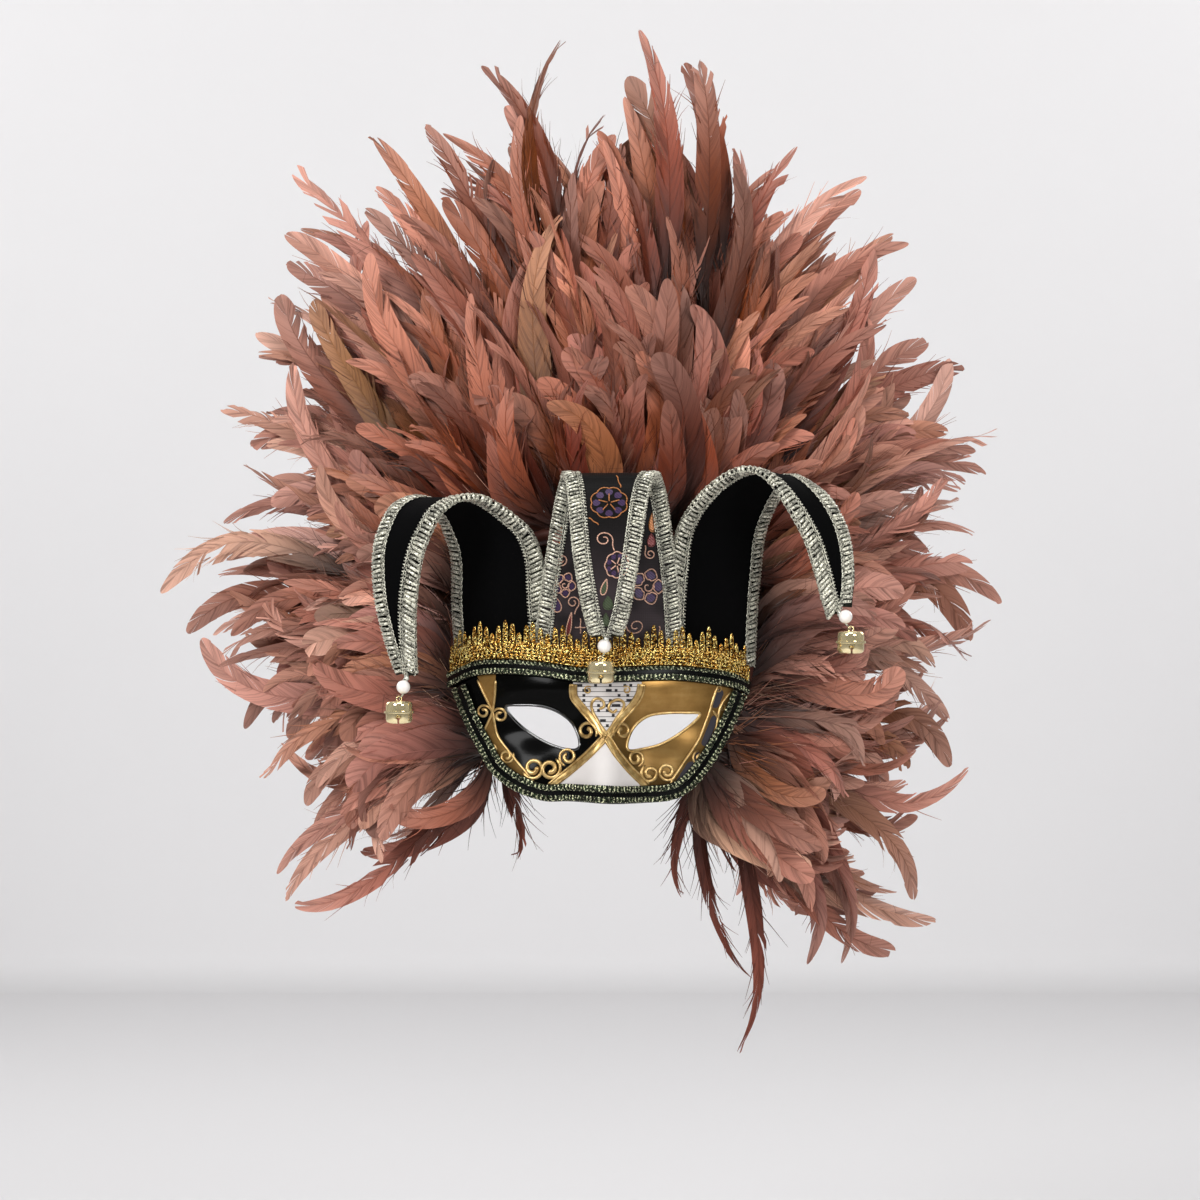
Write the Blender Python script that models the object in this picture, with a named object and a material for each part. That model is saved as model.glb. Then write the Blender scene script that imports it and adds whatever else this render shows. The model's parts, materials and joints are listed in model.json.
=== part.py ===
"""Feather masquerade mask: a half mask with a folded three-point crown in front of a fan of long feathers.

Units are metres, +Z is up and the face looks along -Y. The origin is the inner side of the nose bridge at eye
level, where the mask sits on the face. Tables are in millimetres.
"""
import math

import bmesh
import bpy
from mathutils import Vector

MM = 0.001

# Mask
WALL = 2.0 * MM
FACE_HALF_WIDTH = 96 * MM
FACE_DEPTH = 70 * MM
FACE_EDGE = 0.985
NOSE_HEIGHT = 21 * MM
NOSE_X = 2.5 * MM
NOSE_TOP = 20 * MM
NOSE_LENGTH = 58 * MM
NOSE_HALF_WIDTHS = (9 * MM, 16 * MM)
NOSE_FALL = 1.25
NOSE_ROUNDNESS = 2.2
BRAID_WIDTH = 9.5 * MM
BRAID_THICKNESS = 2.2 * MM
BRAID_LIFT = 1.0 * MM
RELIEF_RADIUS = 1.0 * MM
COLUMN_SPREAD = 0.055
CURL_CLOSE = 0.68
CURL_POINTS = 8
MASK_COLUMNS = 34
MASK_ROWS = 8
GAP = 0.35 * MM

# Crown and lace
CARD = 2.0 * MM
TRIM_WIDTH = 9.0 * MM
TRIM_THICKNESS = 2.2 * MM
SEAM = 0.8 * MM
LACE_THICKNESS = 1.0 * MM
LACE_STAND_OFF = 4.2 * MM
LACE_RAISE = 2.0 * MM
LACE_END = 2.0 * MM
LACE_FOOT = 12.0 * MM
LACE_POINT = 9.0 * MM
LACE_POINTS = 17

# Drops
PEARL_RADIUS = 4.0 * MM
BELL_RADIUS = 8.4 * MM
BELL_HEIGHT = 13.0 * MM
BELL_WALL = 0.9 * MM
BELL_SLOT = 1.6 * MM
BELL_SLOT_DROP = 0.62
BELL_STEPS = 10
BELL_PROFILE = (
    # share of the radius, share of the height
    (0.0, 0.5), (0.30, 0.485), (0.78, 0.40), (0.98, 0.18), (1.0, 0.0), (0.98, -0.18), (0.78, -0.40),
    (0.30, -0.485), (0.0, -0.5),
)

# Feathers
CORD_RADIUS = 3.0 * MM
ROW_DEPTHS = (0.0, 9.0 * MM, 28.0 * MM)
LOCK_THICKNESS = 4.4 * MM
LOCK_LEAN = 1.5
ROW_START = 0.04
FAN_HEART = (2, 0, 30)

FINISHES = {
    # name: (red, green, blue), roughness, metallic
    "mask_paint": ((0.012, 0.012, 0.010), 0.22, 0.0),
    "dark_braid": ((0.035, 0.045, 0.030), 0.45, 0.4),
    "silver_braid": ((0.36, 0.38, 0.29), 0.42, 0.5),
    "gold_lace": ((0.62, 0.40, 0.08), 0.35, 0.8),
    "velvet": ((0.006, 0.006, 0.007), 0.95, 0.0),
    "brocade": ((0.045, 0.036, 0.032), 0.55, 0.0),
    "pearl": ((0.86, 0.82, 0.76), 0.18, 0.0),
    "bell_gold": ((0.78, 0.60, 0.26), 0.2, 1.0),
    "feather": ((0.36, 0.15, 0.115), 0.6, 0.0),
}

# Soft hollows and swells of the face form, the same on both sides
FACE_SWELLS = (
    # what, x, z, half width, half height, depth
    ("socket", 34, -3, 24, 13, 5.5),
    ("brow", 30, 19, 24, 8, -2.2),
    ("cheek", 44, -33, 20, 16, -4.0),
)

# Mask outline, x and z of its upper and lower edge
UPPER_EDGE = (
    # x, z
    (-88.5, 27.5), (-84, 30), (-73, 35), (-57, 36.5), (-33, 35), (-12, 32), (8, 32), (40, 33), (62, 31),
    (77, 28), (84, 25), (87, 22),
)
LOWER_EDGE = (
    # x, z
    (-88.5, 22.5), (-84.5, 12), (-78.5, -3), (-70, -19), (-62.5, -31), (-49, -40.5), (-33, -46), (-19, -46),
    (-7, -46), (4, -46.5), (15, -47), (26, -47), (40, -46), (50, -42), (59, -34), (70, -19), (80, 0),
    (84.5, 11), (87, 17),
)

# Eye openings, x and z of points round each, the outer corner first
LEFT_EYE = (
    (-55, 8), (-46, 9.6), (-34, 9), (-24, 5.5), (-16, -1), (-12, -10), (-13, -15.6), (-21, -15.8), (-33, -11.5),
    (-46, -3),
)
RIGHT_EYE = (
    (58.5, 3.8), (50, 5), (39, 5), (28, 3.2), (20, -2.8), (16, -11), (16.5, -16.3), (24, -16), (36, -13),
    (49, -5.5),
)

# Raised lines of the mask, each a smooth line through x, z points
RELIEF_LINES = (
    ((-15.5, 20), (-11, 12), (-4, 2), (3.2, -8)),
    ((23.5, 20), (17.5, 13), (11, 3), (3.8, -8)),
    ((3.2, -9), (-6, -18), (-16, -27), (-25.5, -34.5)),
    ((3.8, -9), (9, -17), (17, -27), (24.5, -34.5)),
    ((-72, 23.5), (-66, 12), (-62.5, 4), (-60, -8), (-52, -19), (-40, -33)),
    ((-62, 23.5), (-63.5, 12), (-65, 5), (-69, -6)),
    ((69, 20), (66, 12), (63, 2), (57, -12), (48, -25), (42, -34)),
    ((76, 16), (71, 9), (69, 1), (67, -9)),
)
# Raised curls, a spiral each
RELIEF_CURLS = (
    # x, z, radius, start degrees, turns
    (-38.5, -27, 5.6, 200, 1.4), (-29, -27.5, 5.4, 60, -1.4), (-18.5, -20.5, 4.6, 250, -1.3),
    (-8.0, -5, 4.4, 340, 1.2), (-68, 6, 3.6, 20, 1.2), (-58.5, 4, 3.8, 160, -1.2),
    (-1.5, 9, 4.6, 340, 1.4), (9.5, 9, 4.6, 200, -1.4),
    (11.5, -5.5, 4.4, 210, -1.3), (20.5, -21, 4.4, 290, 1.3), (29, -29.5, 4.8, 120, 1.4),
    (39, -28.5, 5.0, 340, -1.4), (58, -21.5, 4.4, 100, 1.2),
)

# Folded strips: the two free edges, and how far the strip bellies out between them
CENTRE_STRIP = (
    # left x, y, z, right x, y, z, belly
    (-38.9, 9.0, 37.6, 48.5, 13.0, 37.2, 6.0),
    (-35.5, 9.0, 66.0, 47.0, 12.5, 66.0, 6.0),
    (-32.5, 9.0, 88.0, 45.0, 12.0, 88.0, 6.0),
    (-29.0, 9.5, 110.0, 41.8, 11.5, 110.0, 5.5),
    (-26.0, 9.5, 128.0, 39.5, 12.0, 128.0, 5.0),
    (-23.5, 4.5, 139.0, 37.0, 6.0, 139.0, 4.0),
    (-22.0, -3.5, 143.5, 34.5, -3.0, 143.5, 3.0),
    (-20.0, -12.5, 140.0, 31.0, -12.5, 140.0, 2.0),
    (-18.0, -19.0, 127.8, 27.5, -19.0, 127.8, 2.0),
    (-15.4, -24.0, 98.0, 23.0, -24.0, 98.0, 2.0),
    (-10.4, -21.5, 68.0, 18.0, -21.5, 68.0, 1.5),
    (-5.6, -14.0, 50.0, 12.9, -14.0, 50.0, 0.5),
)
LEFT_STRIP = (
    # inner x, y, z, outer x, y, z, belly
    (-29.5, 12.0, 40.0, -85.0, 43.5, 35.5, 6.0),
    (-32.0, 12.0, 71.0, -87.0, 46.0, 68.0, 6.0),
    (-33.6, 12.0, 94.0, -87.0, 47.5, 85.0, 5.0),
    (-39.4, 10.0, 109.6, -88.0, 48.0, 98.0, 4.0),
    (-49.3, 7.0, 119.0, -91.0, 47.0, 108.0, 3.0),
    (-59.0, 3.0, 125.9, -94.5, 44.0, 117.0, 2.0),
    (-69.6, -1.0, 130.5, -100.0, 38.0, 125.0, 1.0),
    (-81.0, -6.0, 129.3, -108.5, 29.5, 130.5, 0.0),
    (-90.0, -11.0, 123.0, -119.5, 19.0, 127.0, 0.5),
    (-95.0, -15.0, 114.8, -126.0, 9.0, 117.7, 1.0),
    (-102.0, -18.0, 95.7, -131.0, 0.0, 99.8, 2.0),
    (-105.6, -18.0, 67.9, -130.0, -6.0, 73.7, 2.0),
    (-106.0, -16.0, 41.8, -124.0, -6.0, 47.6, 1.0),
    (-105.6, -13.0, 27.0, -117.7, -6.0, 28.4, 0.0),
)
RIGHT_STRIP = (
    # inner x, y, z, outer x, y, z, belly
    (38.5, 17.0, 39.0, 91.0, 47.5, 31.0, 6.0),
    (39.4, 17.5, 70.8, 92.8, 49.0, 67.9, 6.0),
    (41.8, 17.0, 94.0, 94.5, 50.0, 85.0, 5.0),
    (44.0, 14.5, 107.9, 96.0, 50.0, 101.0, 4.0),
    (48.0, 11.0, 117.7, 98.0, 49.0, 112.0, 3.0),
    (55.0, 6.5, 128.0, 101.5, 46.0, 121.8, 2.0),
    (65.0, 1.0, 138.0, 106.0, 39.0, 131.0, 1.0),
    (77.7, -4.0, 145.6, 111.0, 28.0, 138.6, 0.0),
    (88.7, -8.0, 146.0, 116.0, 22.0, 142.0, 0.0),
    (98.6, -12.0, 138.6, 124.0, 16.0, 138.0, 0.5),
    (108.5, -15.0, 123.5, 133.4, 8.0, 130.0, 1.0),
    (117.7, -17.0, 105.6, 141.0, 2.0, 117.0, 1.5),
    (123.5, -17.0, 87.0, 145.0, -6.0, 102.7, 1.5),
    (127.6, -16.0, 70.8, 146.0, -12.0, 85.8, 1.0),
    (131.0, -14.0, 60.3, 144.4, -13.0, 69.0, 0.0),
)
STRIPS = {
    # name: sections, way the belly faces, trims on the first and the second edge, finish
    "crown_centre": (CENTRE_STRIP, (0.0, -1.0, 0.0), ("trim_centre_left", "trim_centre_right"), "brocade"),
    "horn_left": (LEFT_STRIP, (-0.6, -0.8, 0.0), ("trim_left_inner", "trim_left_outer"), "velvet"),
    "horn_right": (RIGHT_STRIP, (0.6, -0.8, 0.0), ("trim_right_inner", "trim_right_outer"), "velvet"),
}
DROPS = (
    # side, pearl x, y, z, bell x, z
    ("centre", 2.5, -13.0, 44.2, 0.5, 29.2),
    ("left", -113.5, -10.5, 20.6, -116.0, 6.0),
    ("right", 141.5, -14.0, 61.2, 144.5, 46.4),
)

# Feather cord, from behind the left cheek over the crown to behind the right cheek
CORD_ROUTE = (
    # x, y, z
    (-54, 25, -27), (-66, 34, -12), (-76, 43, 8), (-83, 53, 32), (-84, 60, 60), (-72, 59, 86), (-57, 53, 98),
    (-38, 36, 107), (0, 24, 114), (42, 37, 107), (61, 54, 98), (76, 60, 87), (88, 62, 60), (88, 55, 32),
    (78, 45, 8), (68, 36, -12), (55, 26, -27),
)

# Feathers of the back row: where each leaves the cord (0 to 1 along it), its tip, how far it bends sideways,
# its width, and how far its tip lies behind its root
BACK_LOCKS = (
    # along, tip x, tip z, bend, width, back
    (0.02, -192, -113, -16, 31, 55),
    (0.05, -178, -72, 10, 28, 75),
    (0.08, -203, -38, -14, 31, 55),
    (0.11, -222, -10, 12, 31, 75),
    (0.15, -235, 29, -12, 31, 60),
    (0.19, -258, 50, 10, 34, 75),
    (0.22, -272, 75, 16, 34, 60),
    (0.25, -236, 119, -10, 31, 80),
    (0.28, -204, 146, 10, 31, 60),
    (0.31, -237, 190, -14, 34, 80),
    (0.34, -212, 224, 10, 31, 60),
    (0.37, -206, 256, -12, 31, 80),
    (0.40, -194, 296, 12, 31, 60),
    (0.43, -190, 335, -14, 34, 80),
    (0.45, -141, 358, -12, 31, 60),
    (0.47, -108, 363, 12, 31, 80),
    (0.49, -73, 398, -10, 31, 60),
    (0.50, -50, 362, 10, 28, 75),
    (0.51, -24, 414, -12, 31, 60),
    (0.52, 2, 370, 10, 28, 75),
    (0.53, 24, 420, 10, 31, 60),
    (0.54, 56, 421, -26, 36, 75),
    (0.56, 84, 350, 10, 31, 60),
    (0.58, 122, 352, -12, 31, 80),
    (0.60, 166, 334, 14, 34, 60),
    (0.62, 184, 300, -12, 31, 80),
    (0.65, 196, 270, 12, 31, 60),
    (0.68, 228, 216, -12, 34, 80),
    (0.71, 246, 172, 14, 34, 60),
    (0.74, 222, 146, -8, 28, 80),
    (0.77, 232, 112, 10, 31, 60),
    (0.80, 251, 69, -10, 34, 75),
    (0.83, 226, 32, 10, 31, 60),
    (0.86, 216, 0, -10, 31, 75),
    (0.88, 228, -34, 12, 31, 60),
    (0.90, 196, -62, -10, 31, 75),
    (0.93, 182, -108, 12, 31, 55),
    (0.95, 208, -127, -34, 31, 70),
    (0.975, 148, -152, 12, 31, 50),
    (0.99, 82, -200, -16, 24, 30),
)
# Middle and front rows: how many, the reach and width cycle, and the lean of the row
MIDDLE_ROW = {"count": 20, "reach": (165, 140, 180, 150), "width": 31, "bend": (10, -12), "back": (22, 30)}
FRONT_ROW = {"count": 12, "reach": (118, 95, 128), "width": 29, "bend": (-9, 11), "back": (8, 3)}
# Outline of one lock along its length: share of the length, share of the width, share of the thickness
LOCK_SECTIONS = (
    (0.0, 0.35, 0.6), (0.32, 0.82, 0.9), (0.62, 1.0, 1.0), (0.86, 0.62, 0.7), (1.0, 0.06, 0.25),
)


def smooth_points(points, steps, closed=False):
    """Catmull-Rom line through the points, with the given steps in each span."""
    points = [Vector(p) for p in points]
    last = len(points) - 1
    line = []
    for i in range(len(points) if closed else last):
        if closed:
            a, b, c, d = (points[(i + k) % len(points)] for k in (-1, 0, 1, 2))
        else:
            a, b, c, d = (points[min(max(i + k, 0), last)] for k in (-1, 0, 1, 2))
        for step in range(steps):
            t = step / steps
            line.append(0.5 * (2 * b + (c - a) * t + (2 * a - 5 * b + 4 * c - d) * t ** 2
                               + (3 * b - a - 3 * c + d) * t ** 3))
    if not closed:
        line.append(points[-1])
    return line


def along(line, share):
    """Point at a share of the number of spans of a line."""
    place = min(max(share, 0.0), 1.0) * (len(line) - 1)
    i = min(int(place), len(line) - 2)
    return line[i].lerp(line[i + 1], place - i)


def edge_height(edge, x):
    """Height of a mask edge at x, on a straight run between its points."""
    for (x0, z0), (x1, z1) in zip(edge, edge[1:]):
        if x <= x1:
            break
    return z0 + (z1 - z0) * (min(max(x, x0), x1) - x0) / (x1 - x0)


UPPER_LINE = [(p.x * MM, p.y * MM) for p in smooth_points([(x, z, 0) for x, z in UPPER_EDGE], 4)]
LOWER_LINE = [(p.x * MM, p.y * MM) for p in smooth_points([(x, z, 0) for x, z in LOWER_EDGE], 4)]


def face_form(x, z):
    """Depth of a plain face form: an elliptic cheek line with sockets, a nose, cheeks and a brow."""
    side = min(abs(x) / FACE_HALF_WIDTH, FACE_EDGE)
    depth = FACE_DEPTH * (1 - math.sqrt(1 - side ** 2))
    for what, swell_x, swell_z, half_width, half_height, deep in FACE_SWELLS:
        for hand in (-1, 1):
            across = (x - hand * swell_x * MM) / (half_width * MM)
            upward = (z - swell_z * MM) / (half_height * MM)
            depth += deep * MM * math.exp(-across ** 2 - upward ** 2)
    fall = min(max((NOSE_TOP - z) / NOSE_LENGTH, 0.0), 1.0)
    ridge = NOSE_HEIGHT * fall ** NOSE_FALL
    top, foot = NOSE_HALF_WIDTHS
    half = top + (foot - top) * fall
    return depth - ridge * math.exp(-(abs(x - NOSE_X) / half) ** NOSE_ROUNDNESS)


SEAT_DEPTH = face_form(0.0, 0.0)


def mask_front(x, z):
    """Depth of the mask's outer face, whose inner side touches the origin at the nose bridge."""
    return face_form(x, z) - SEAT_DEPTH - WALL


def on_mask(x, z, lift=0.0):
    """Point over the mask's outer face, lifted off it along the way it faces."""
    step = 0.5 * MM
    slope_x = (mask_front(x + step, z) - mask_front(x - step, z)) / (2 * step)
    slope_z = (mask_front(x, z + step) - mask_front(x, z - step)) / (2 * step)
    facing = Vector((slope_x, -1.0, slope_z)).normalized()
    return Vector((x, mask_front(x, z), z)) + facing * lift


def finish_material(name):
    """Principled material of one finish, made once."""
    material = bpy.data.materials.get(name)
    if material is None:
        colour, roughness, metallic = FINISHES[name]
        material = bpy.data.materials.new(name)
        material.use_nodes = True
        shader = material.node_tree.nodes["Principled BSDF"]
        shader.inputs["Base Color"].default_value = (*colour, 1.0)
        shader.inputs["Roughness"].default_value = roughness
        shader.inputs["Metallic"].default_value = metallic
    return material


def add_object(name, bm, finish):
    """Object from a bmesh, smooth except at sharp edges, with its finish."""
    mesh = bpy.data.meshes.new(name)
    bm.to_mesh(mesh)
    bm.free()
    obj = bpy.data.objects.new(name, mesh)
    bpy.context.scene.collection.objects.link(obj)
    mesh.materials.append(finish_material(finish))
    mesh.shade_smooth()
    mesh.set_sharp_from_angle(angle=math.radians(35))
    return obj


def hide_helper(obj):
    """A cutter or a joined part: used by a Boolean and left out of the object."""
    obj.hide_render = True
    obj.display_type = "WIRE"
    return obj


def join_solids(obj, helpers, operation):
    """Boolean of one object with a group of helpers, kept as a live modifier."""
    group = bpy.data.collections.new(obj.name + "_" + operation.lower())
    bpy.context.scene.collection.children.link(group)
    for helper in helpers:
        bpy.context.scene.collection.objects.unlink(helper)
        group.objects.link(hide_helper(helper))
    boolean = obj.modifiers.new(operation.lower(), "BOOLEAN")
    boolean.operand_type = "COLLECTION"
    boolean.collection = group
    boolean.operation = operation
    boolean.solver = "EXACT"


def keep_outer_skin(obj):
    """Put an object's joined form in its mesh without the closed pockets left between its parts."""
    mesh = bpy.data.meshes.new_from_object(obj.evaluated_get(bpy.context.evaluated_depsgraph_get()))
    bm = bmesh.new()
    bm.from_mesh(mesh)
    left = set(bm.faces)
    skins = []
    while left:
        skin, waiting = set(), [left.pop()]
        while waiting:
            face = waiting.pop()
            skin.add(face)
            near = {other for e in face.edges for other in e.link_faces} & left
            left -= near
            waiting.extend(near)
        skins.append(skin)
    skins.sort(key=len)
    for pocket in skins[:-1]:
        bmesh.ops.delete(bm, geom=list(pocket), context="FACES")
    bm.to_mesh(mesh)
    bm.free()
    obj.modifiers.clear()
    obj.data = mesh


def wall(name, across, lengthwise, place, thickness, finish, offset=0.0):
    """A thin wall: a grid whose points place(u, v) sets, thickened by Solidify."""
    bm = bmesh.new()
    bmesh.ops.create_grid(bm, x_segments=across, y_segments=lengthwise, size=0.5)
    for vert in bm.verts:
        vert.co = place(vert.co.x + 0.5, vert.co.y + 0.5)
    obj = add_object(name, bm, finish)
    solid = obj.modifiers.new("wall", "SOLIDIFY")
    solid.thickness = thickness
    solid.offset = offset
    solid.use_even_offset = True
    return obj


def sweep(name, rings, finish):
    """Closed bar through rings of points: a first face drawn out from ring to ring."""
    bm = bmesh.new()
    end = bm.faces.new([bm.verts.new(point) for point in rings[0]])
    for count, ring in enumerate(rings[1:]):
        drawn = bmesh.ops.extrude_face_region(bm, geom=[end])["geom"]
        if count:
            bmesh.ops.delete(bm, geom=[end], context="FACES_ONLY")
        end = next(item for item in drawn if isinstance(item, bmesh.types.BMFace))
        for vert, point in zip(end.verts, ring):
            vert.co = point
    bmesh.ops.recalc_face_normals(bm, faces=bm.faces)
    return add_object(name, bm, finish)


def bead(name, points, radius, finish):
    """Bead with three sides along a line of points: a flat back and a ridge that faces -Y."""
    rings = []
    for i, point in enumerate(points):
        run = (points[min(i + 1, len(points) - 1)] - points[max(i - 1, 0)]).normalized()
        side = run.cross(Vector((0, 1, 0))).normalized()
        back = point + Vector((0, 0.5 * radius, 0))
        rings.append([back + side * radius, point - Vector((0, radius, 0)), back - side * radius])
    return sweep(name, rings, finish)


def make_mask():
    """Mask wall with its eye openings cut and its scrollwork raised."""
    left, right = UPPER_LINE[0][0], UPPER_LINE[-1][0]

    def place(u, v):
        swing = 2 * u - 1
        x = left + (right - left) * 0.5 * (1 + swing - COLUMN_SPREAD * math.sin(2 * math.pi * swing))
        low, high = edge_height(LOWER_LINE, x), edge_height(UPPER_LINE, x)
        z = low + (high - low) * v
        return Vector((x, mask_front(x, z), z))

    mask = wall("mask_shell", MASK_COLUMNS, MASK_ROWS, place, WALL, "mask_paint", offset=-1.0)

    relief = []
    for number, points in enumerate(RELIEF_LINES):
        line = smooth_points([(x * MM, 0, z * MM) for x, z in points], 2)
        route = [on_mask(p.x, p.z) for p in line]
        relief.append(bead("relief_line_%d" % number, route, RELIEF_RADIUS, "mask_paint"))
    for number, (x, z, radius, start, turns) in enumerate(RELIEF_CURLS):
        route = []
        for step in range(CURL_POINTS):
            share = step / (CURL_POINTS - 1)
            angle = math.radians(start + 360 * turns * share)
            reach = radius * (1 - CURL_CLOSE * share)
            route.append(on_mask((x + reach * math.cos(angle)) * MM, (z + reach * math.sin(angle)) * MM))
        relief.append(bead("relief_curl_%d" % number, route, 0.85 * RELIEF_RADIUS, "mask_paint"))
    join_solids(mask, relief, "UNION")

    cutters = []
    for name, outline in (("left_eye_cutter", LEFT_EYE), ("right_eye_cutter", RIGHT_EYE)):
        rim = smooth_points([(x * MM, -0.04, z * MM) for x, z in outline], 2, closed=True)
        cutters.append(sweep(name, [rim, [p + Vector((0, 0.11, 0)) for p in rim]], "mask_paint"))
    join_solids(mask, cutters, "DIFFERENCE")
    keep_outer_skin(mask)


def make_braids():
    """Two flat braids: one under the mask's upper edge, one along its lower edge between them."""
    lift = BRAID_LIFT + 0.5 * BRAID_THICKNESS

    def brow(u, v):
        x = UPPER_LINE[0][0] + (UPPER_LINE[-1][0] - UPPER_LINE[0][0]) * v
        high = edge_height(UPPER_LINE, x)
        low = max(high - BRAID_WIDTH, edge_height(LOWER_LINE, x))
        return on_mask(x, high + (low - high) * u, lift)

    wall("brow_braid", 1, MASK_COLUMNS, brow, BRAID_THICKNESS, "dark_braid")

    line = smooth_points([(x * MM, 0, z * MM) for x, z in LOWER_EDGE[1:-1]], 4)

    def lower(u, v):
        here, ahead, behind = along(line, v), along(line, v + 0.01), along(line, v - 0.01)
        run = (ahead - behind).normalized()
        inward = Vector((-run.z, 0, run.x))
        point = here + inward * BRAID_WIDTH * u
        return on_mask(point.x, point.z, lift)

    wall("lower_braid", 2, 52, lower, BRAID_THICKNESS, "dark_braid")


def make_lace():
    """Gold lace that stands over the mask's upper edge, its top cut into points."""
    left, right = UPPER_LINE[0][0] + LACE_END, UPPER_LINE[-1][0] - LACE_END

    def place(u, v):
        x = left + (right - left) * v
        foot = edge_height(UPPER_LINE, x) + LACE_RAISE
        wave = abs(math.sin(math.pi * LACE_POINTS * v))
        high = foot + LACE_FOOT + LACE_POINT * wave ** 0.8
        z = foot + (high - foot) * u
        return Vector((x, mask_front(x, foot) - LACE_STAND_OFF, z))

    wall("gold_lace", 1, 3 * LACE_POINTS, place, LACE_THICKNESS, "gold_lace")


def make_strips():
    """Three folded card strips covered in cloth, with a braid along each of their edges."""
    for name, (sections, facing, trims, finish) in STRIPS.items():
        first = [Vector(row[0:3]) * MM for row in sections]
        second = [Vector(row[3:6]) * MM for row in sections]
        belly = [Vector((row[6], 0, 0)) * MM for row in sections]
        facing = Vector(facing)

        def across(v, reach):
            """Point at a share v of the strip's length and a distance from its first edge."""
            start, end = along(first, v), along(second, v)
            share = reach / (end - start).length
            return start.lerp(end, share) + facing * along(belly, v).x * 4 * share * (1 - share)

        def width(v):
            return (along(second, v) - along(first, v)).length

        def trim_width(v):
            return min(TRIM_WIDTH, 0.5 * (width(v) - GAP))

        spans = len(first) - 1
        end = next((i for i in range(spans) if width(i / spans) < 2 * (TRIM_WIDTH + 2 * SEAM)), spans) - 1
        stop = end / spans

        def cloth(u, v):
            inset = TRIM_WIDTH + SEAM
            return across(v * stop, inset + (width(v * stop) - 2 * inset) * u)

        def first_trim(u, v):
            return across(v, trim_width(v) * u)

        def second_trim(u, v):
            return across(v, width(v) - trim_width(v) * (1 - u))

        wall(name, 4, end, cloth, CARD, finish)
        wall(trims[0], 1, spans, first_trim, TRIM_THICKNESS, "silver_braid")
        wall(trims[1], 1, spans, second_trim, TRIM_THICKNESS, "silver_braid")


def make_drops():
    """A pearl bead and a hollow jingle bell with a cross slot under it, at each tip."""
    for side, x, y, z, bell_x, bell_z in DROPS:
        bm = bmesh.new()
        bmesh.ops.create_uvsphere(bm, u_segments=10, v_segments=7, radius=PEARL_RADIUS)
        pearl = add_object("pearl_" + side, bm, "pearl")
        pearl.location = Vector((x, y, z)) * MM

        bm = bmesh.new()
        for thick in (0.0, BELL_WALL):
            radius, height = BELL_RADIUS - thick, BELL_HEIGHT - 2 * thick
            rim = [bm.verts.new((radius * r, 0, height * h)) for r, h in BELL_PROFILE]
            edges = [bm.edges.new(pair) for pair in zip(rim, rim[1:])]
            bmesh.ops.spin(bm, geom=rim + edges, cent=(0, 0, 0), axis=(0, 0, 1), angle=2 * math.pi,
                           steps=BELL_STEPS, use_merge=True)
        bmesh.ops.remove_doubles(bm, verts=bm.verts, dist=0.01 * MM)
        bmesh.ops.recalc_face_normals(bm, faces=bm.faces)
        bell = add_object("bell_" + side, bm, "bell_gold")
        bell.location = Vector((bell_x, y, bell_z)) * MM

        slots = []
        for turn in (0, 90):
            bm = bmesh.new()
            bmesh.ops.create_cube(bm, size=1.0)
            bmesh.ops.scale(bm, vec=(3 * BELL_RADIUS, BELL_SLOT, BELL_HEIGHT), verts=bm.verts)
            slot = add_object("bell_slot", bm, "bell_gold")
            slot.location = Vector((bell_x, y, bell_z)) * MM - Vector((0, 0, BELL_SLOT_DROP * BELL_HEIGHT))
            slot.rotation_euler = (0, 0, math.radians(turn))
            slots.append(slot)
        join_solids(bell, slots, "DIFFERENCE")


def lock(name, root, tip, bend, width, finish):
    """One feather lock: a curved blade with a flat back and a ridge in front, from root to tip."""
    run = tip - root
    flat = Vector((run.x, 0, run.z)).normalized()
    side = Vector((flat.z, 0, -flat.x))
    rings = []
    for share, wide, thick in LOCK_SECTIONS:
        centre = root + run * share + side * bend * 4 * share * (1 - share)
        centre.y = root.y + run.y * share ** LOCK_LEAN
        half = 0.5 * width * wide
        deep = 0.5 * LOCK_THICKNESS * thick
        depth = Vector((0, 2 * deep, 0))
        rings.append([centre + side * half, centre - depth, centre - side * half])
    return sweep(name, rings, finish)


def make_feathers():
    """Three rows of feather locks, each fused to its own cord behind the crown and the cheeks."""
    route = [Vector(p) * MM for p in CORD_ROUTE]
    heart = Vector(FAN_HEART) * MM
    rows = []
    for depth, (name, row) in enumerate((("feathers_front", FRONT_ROW), ("feathers_middle", MIDDLE_ROW))):
        locks = []
        for k in range(row["count"]):
            share = ROW_START + (1 - 2 * ROW_START) * k / (row["count"] - 1)
            root = along(route, share)
            away = (root - heart)
            away.y = 0
            away.normalize()
            reach = row["reach"][k % len(row["reach"])]
            tip = root + away * reach * MM + Vector((0, row["back"][k % 2] * MM, 0))
            locks.append((root, tip, row["bend"][k % 2] * MM, row["width"] * MM))
        rows.append((name, depth, locks))
    locks = []
    for share, x, z, bend, width, back in BACK_LOCKS:
        root = along(route, share)
        locks.append((root, Vector((x * MM, root.y + back * MM, z * MM)), bend * MM, width * MM))
    rows.append(("feathers_back", 2, locks))

    for name, depth, locks in rows:
        shift = Vector((0, ROW_DEPTHS[depth], 0))
        cord = bead(name, [p + shift for p in route], CORD_RADIUS, "feather")
        blades = [lock("%s_lock_%02d" % (name, k), root + shift, tip + shift, bend, width, "feather")
                  for k, (root, tip, bend, width) in enumerate(locks)]
        join_solids(cord, blades, "UNION")
        keep_outer_skin(cord)


for old in list(bpy.data.objects):
    bpy.data.objects.remove(old, do_unlink=True)
make_mask()
make_braids()
make_lace()
make_strips()
make_drops()
make_feathers()
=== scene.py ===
import json
import math

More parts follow.
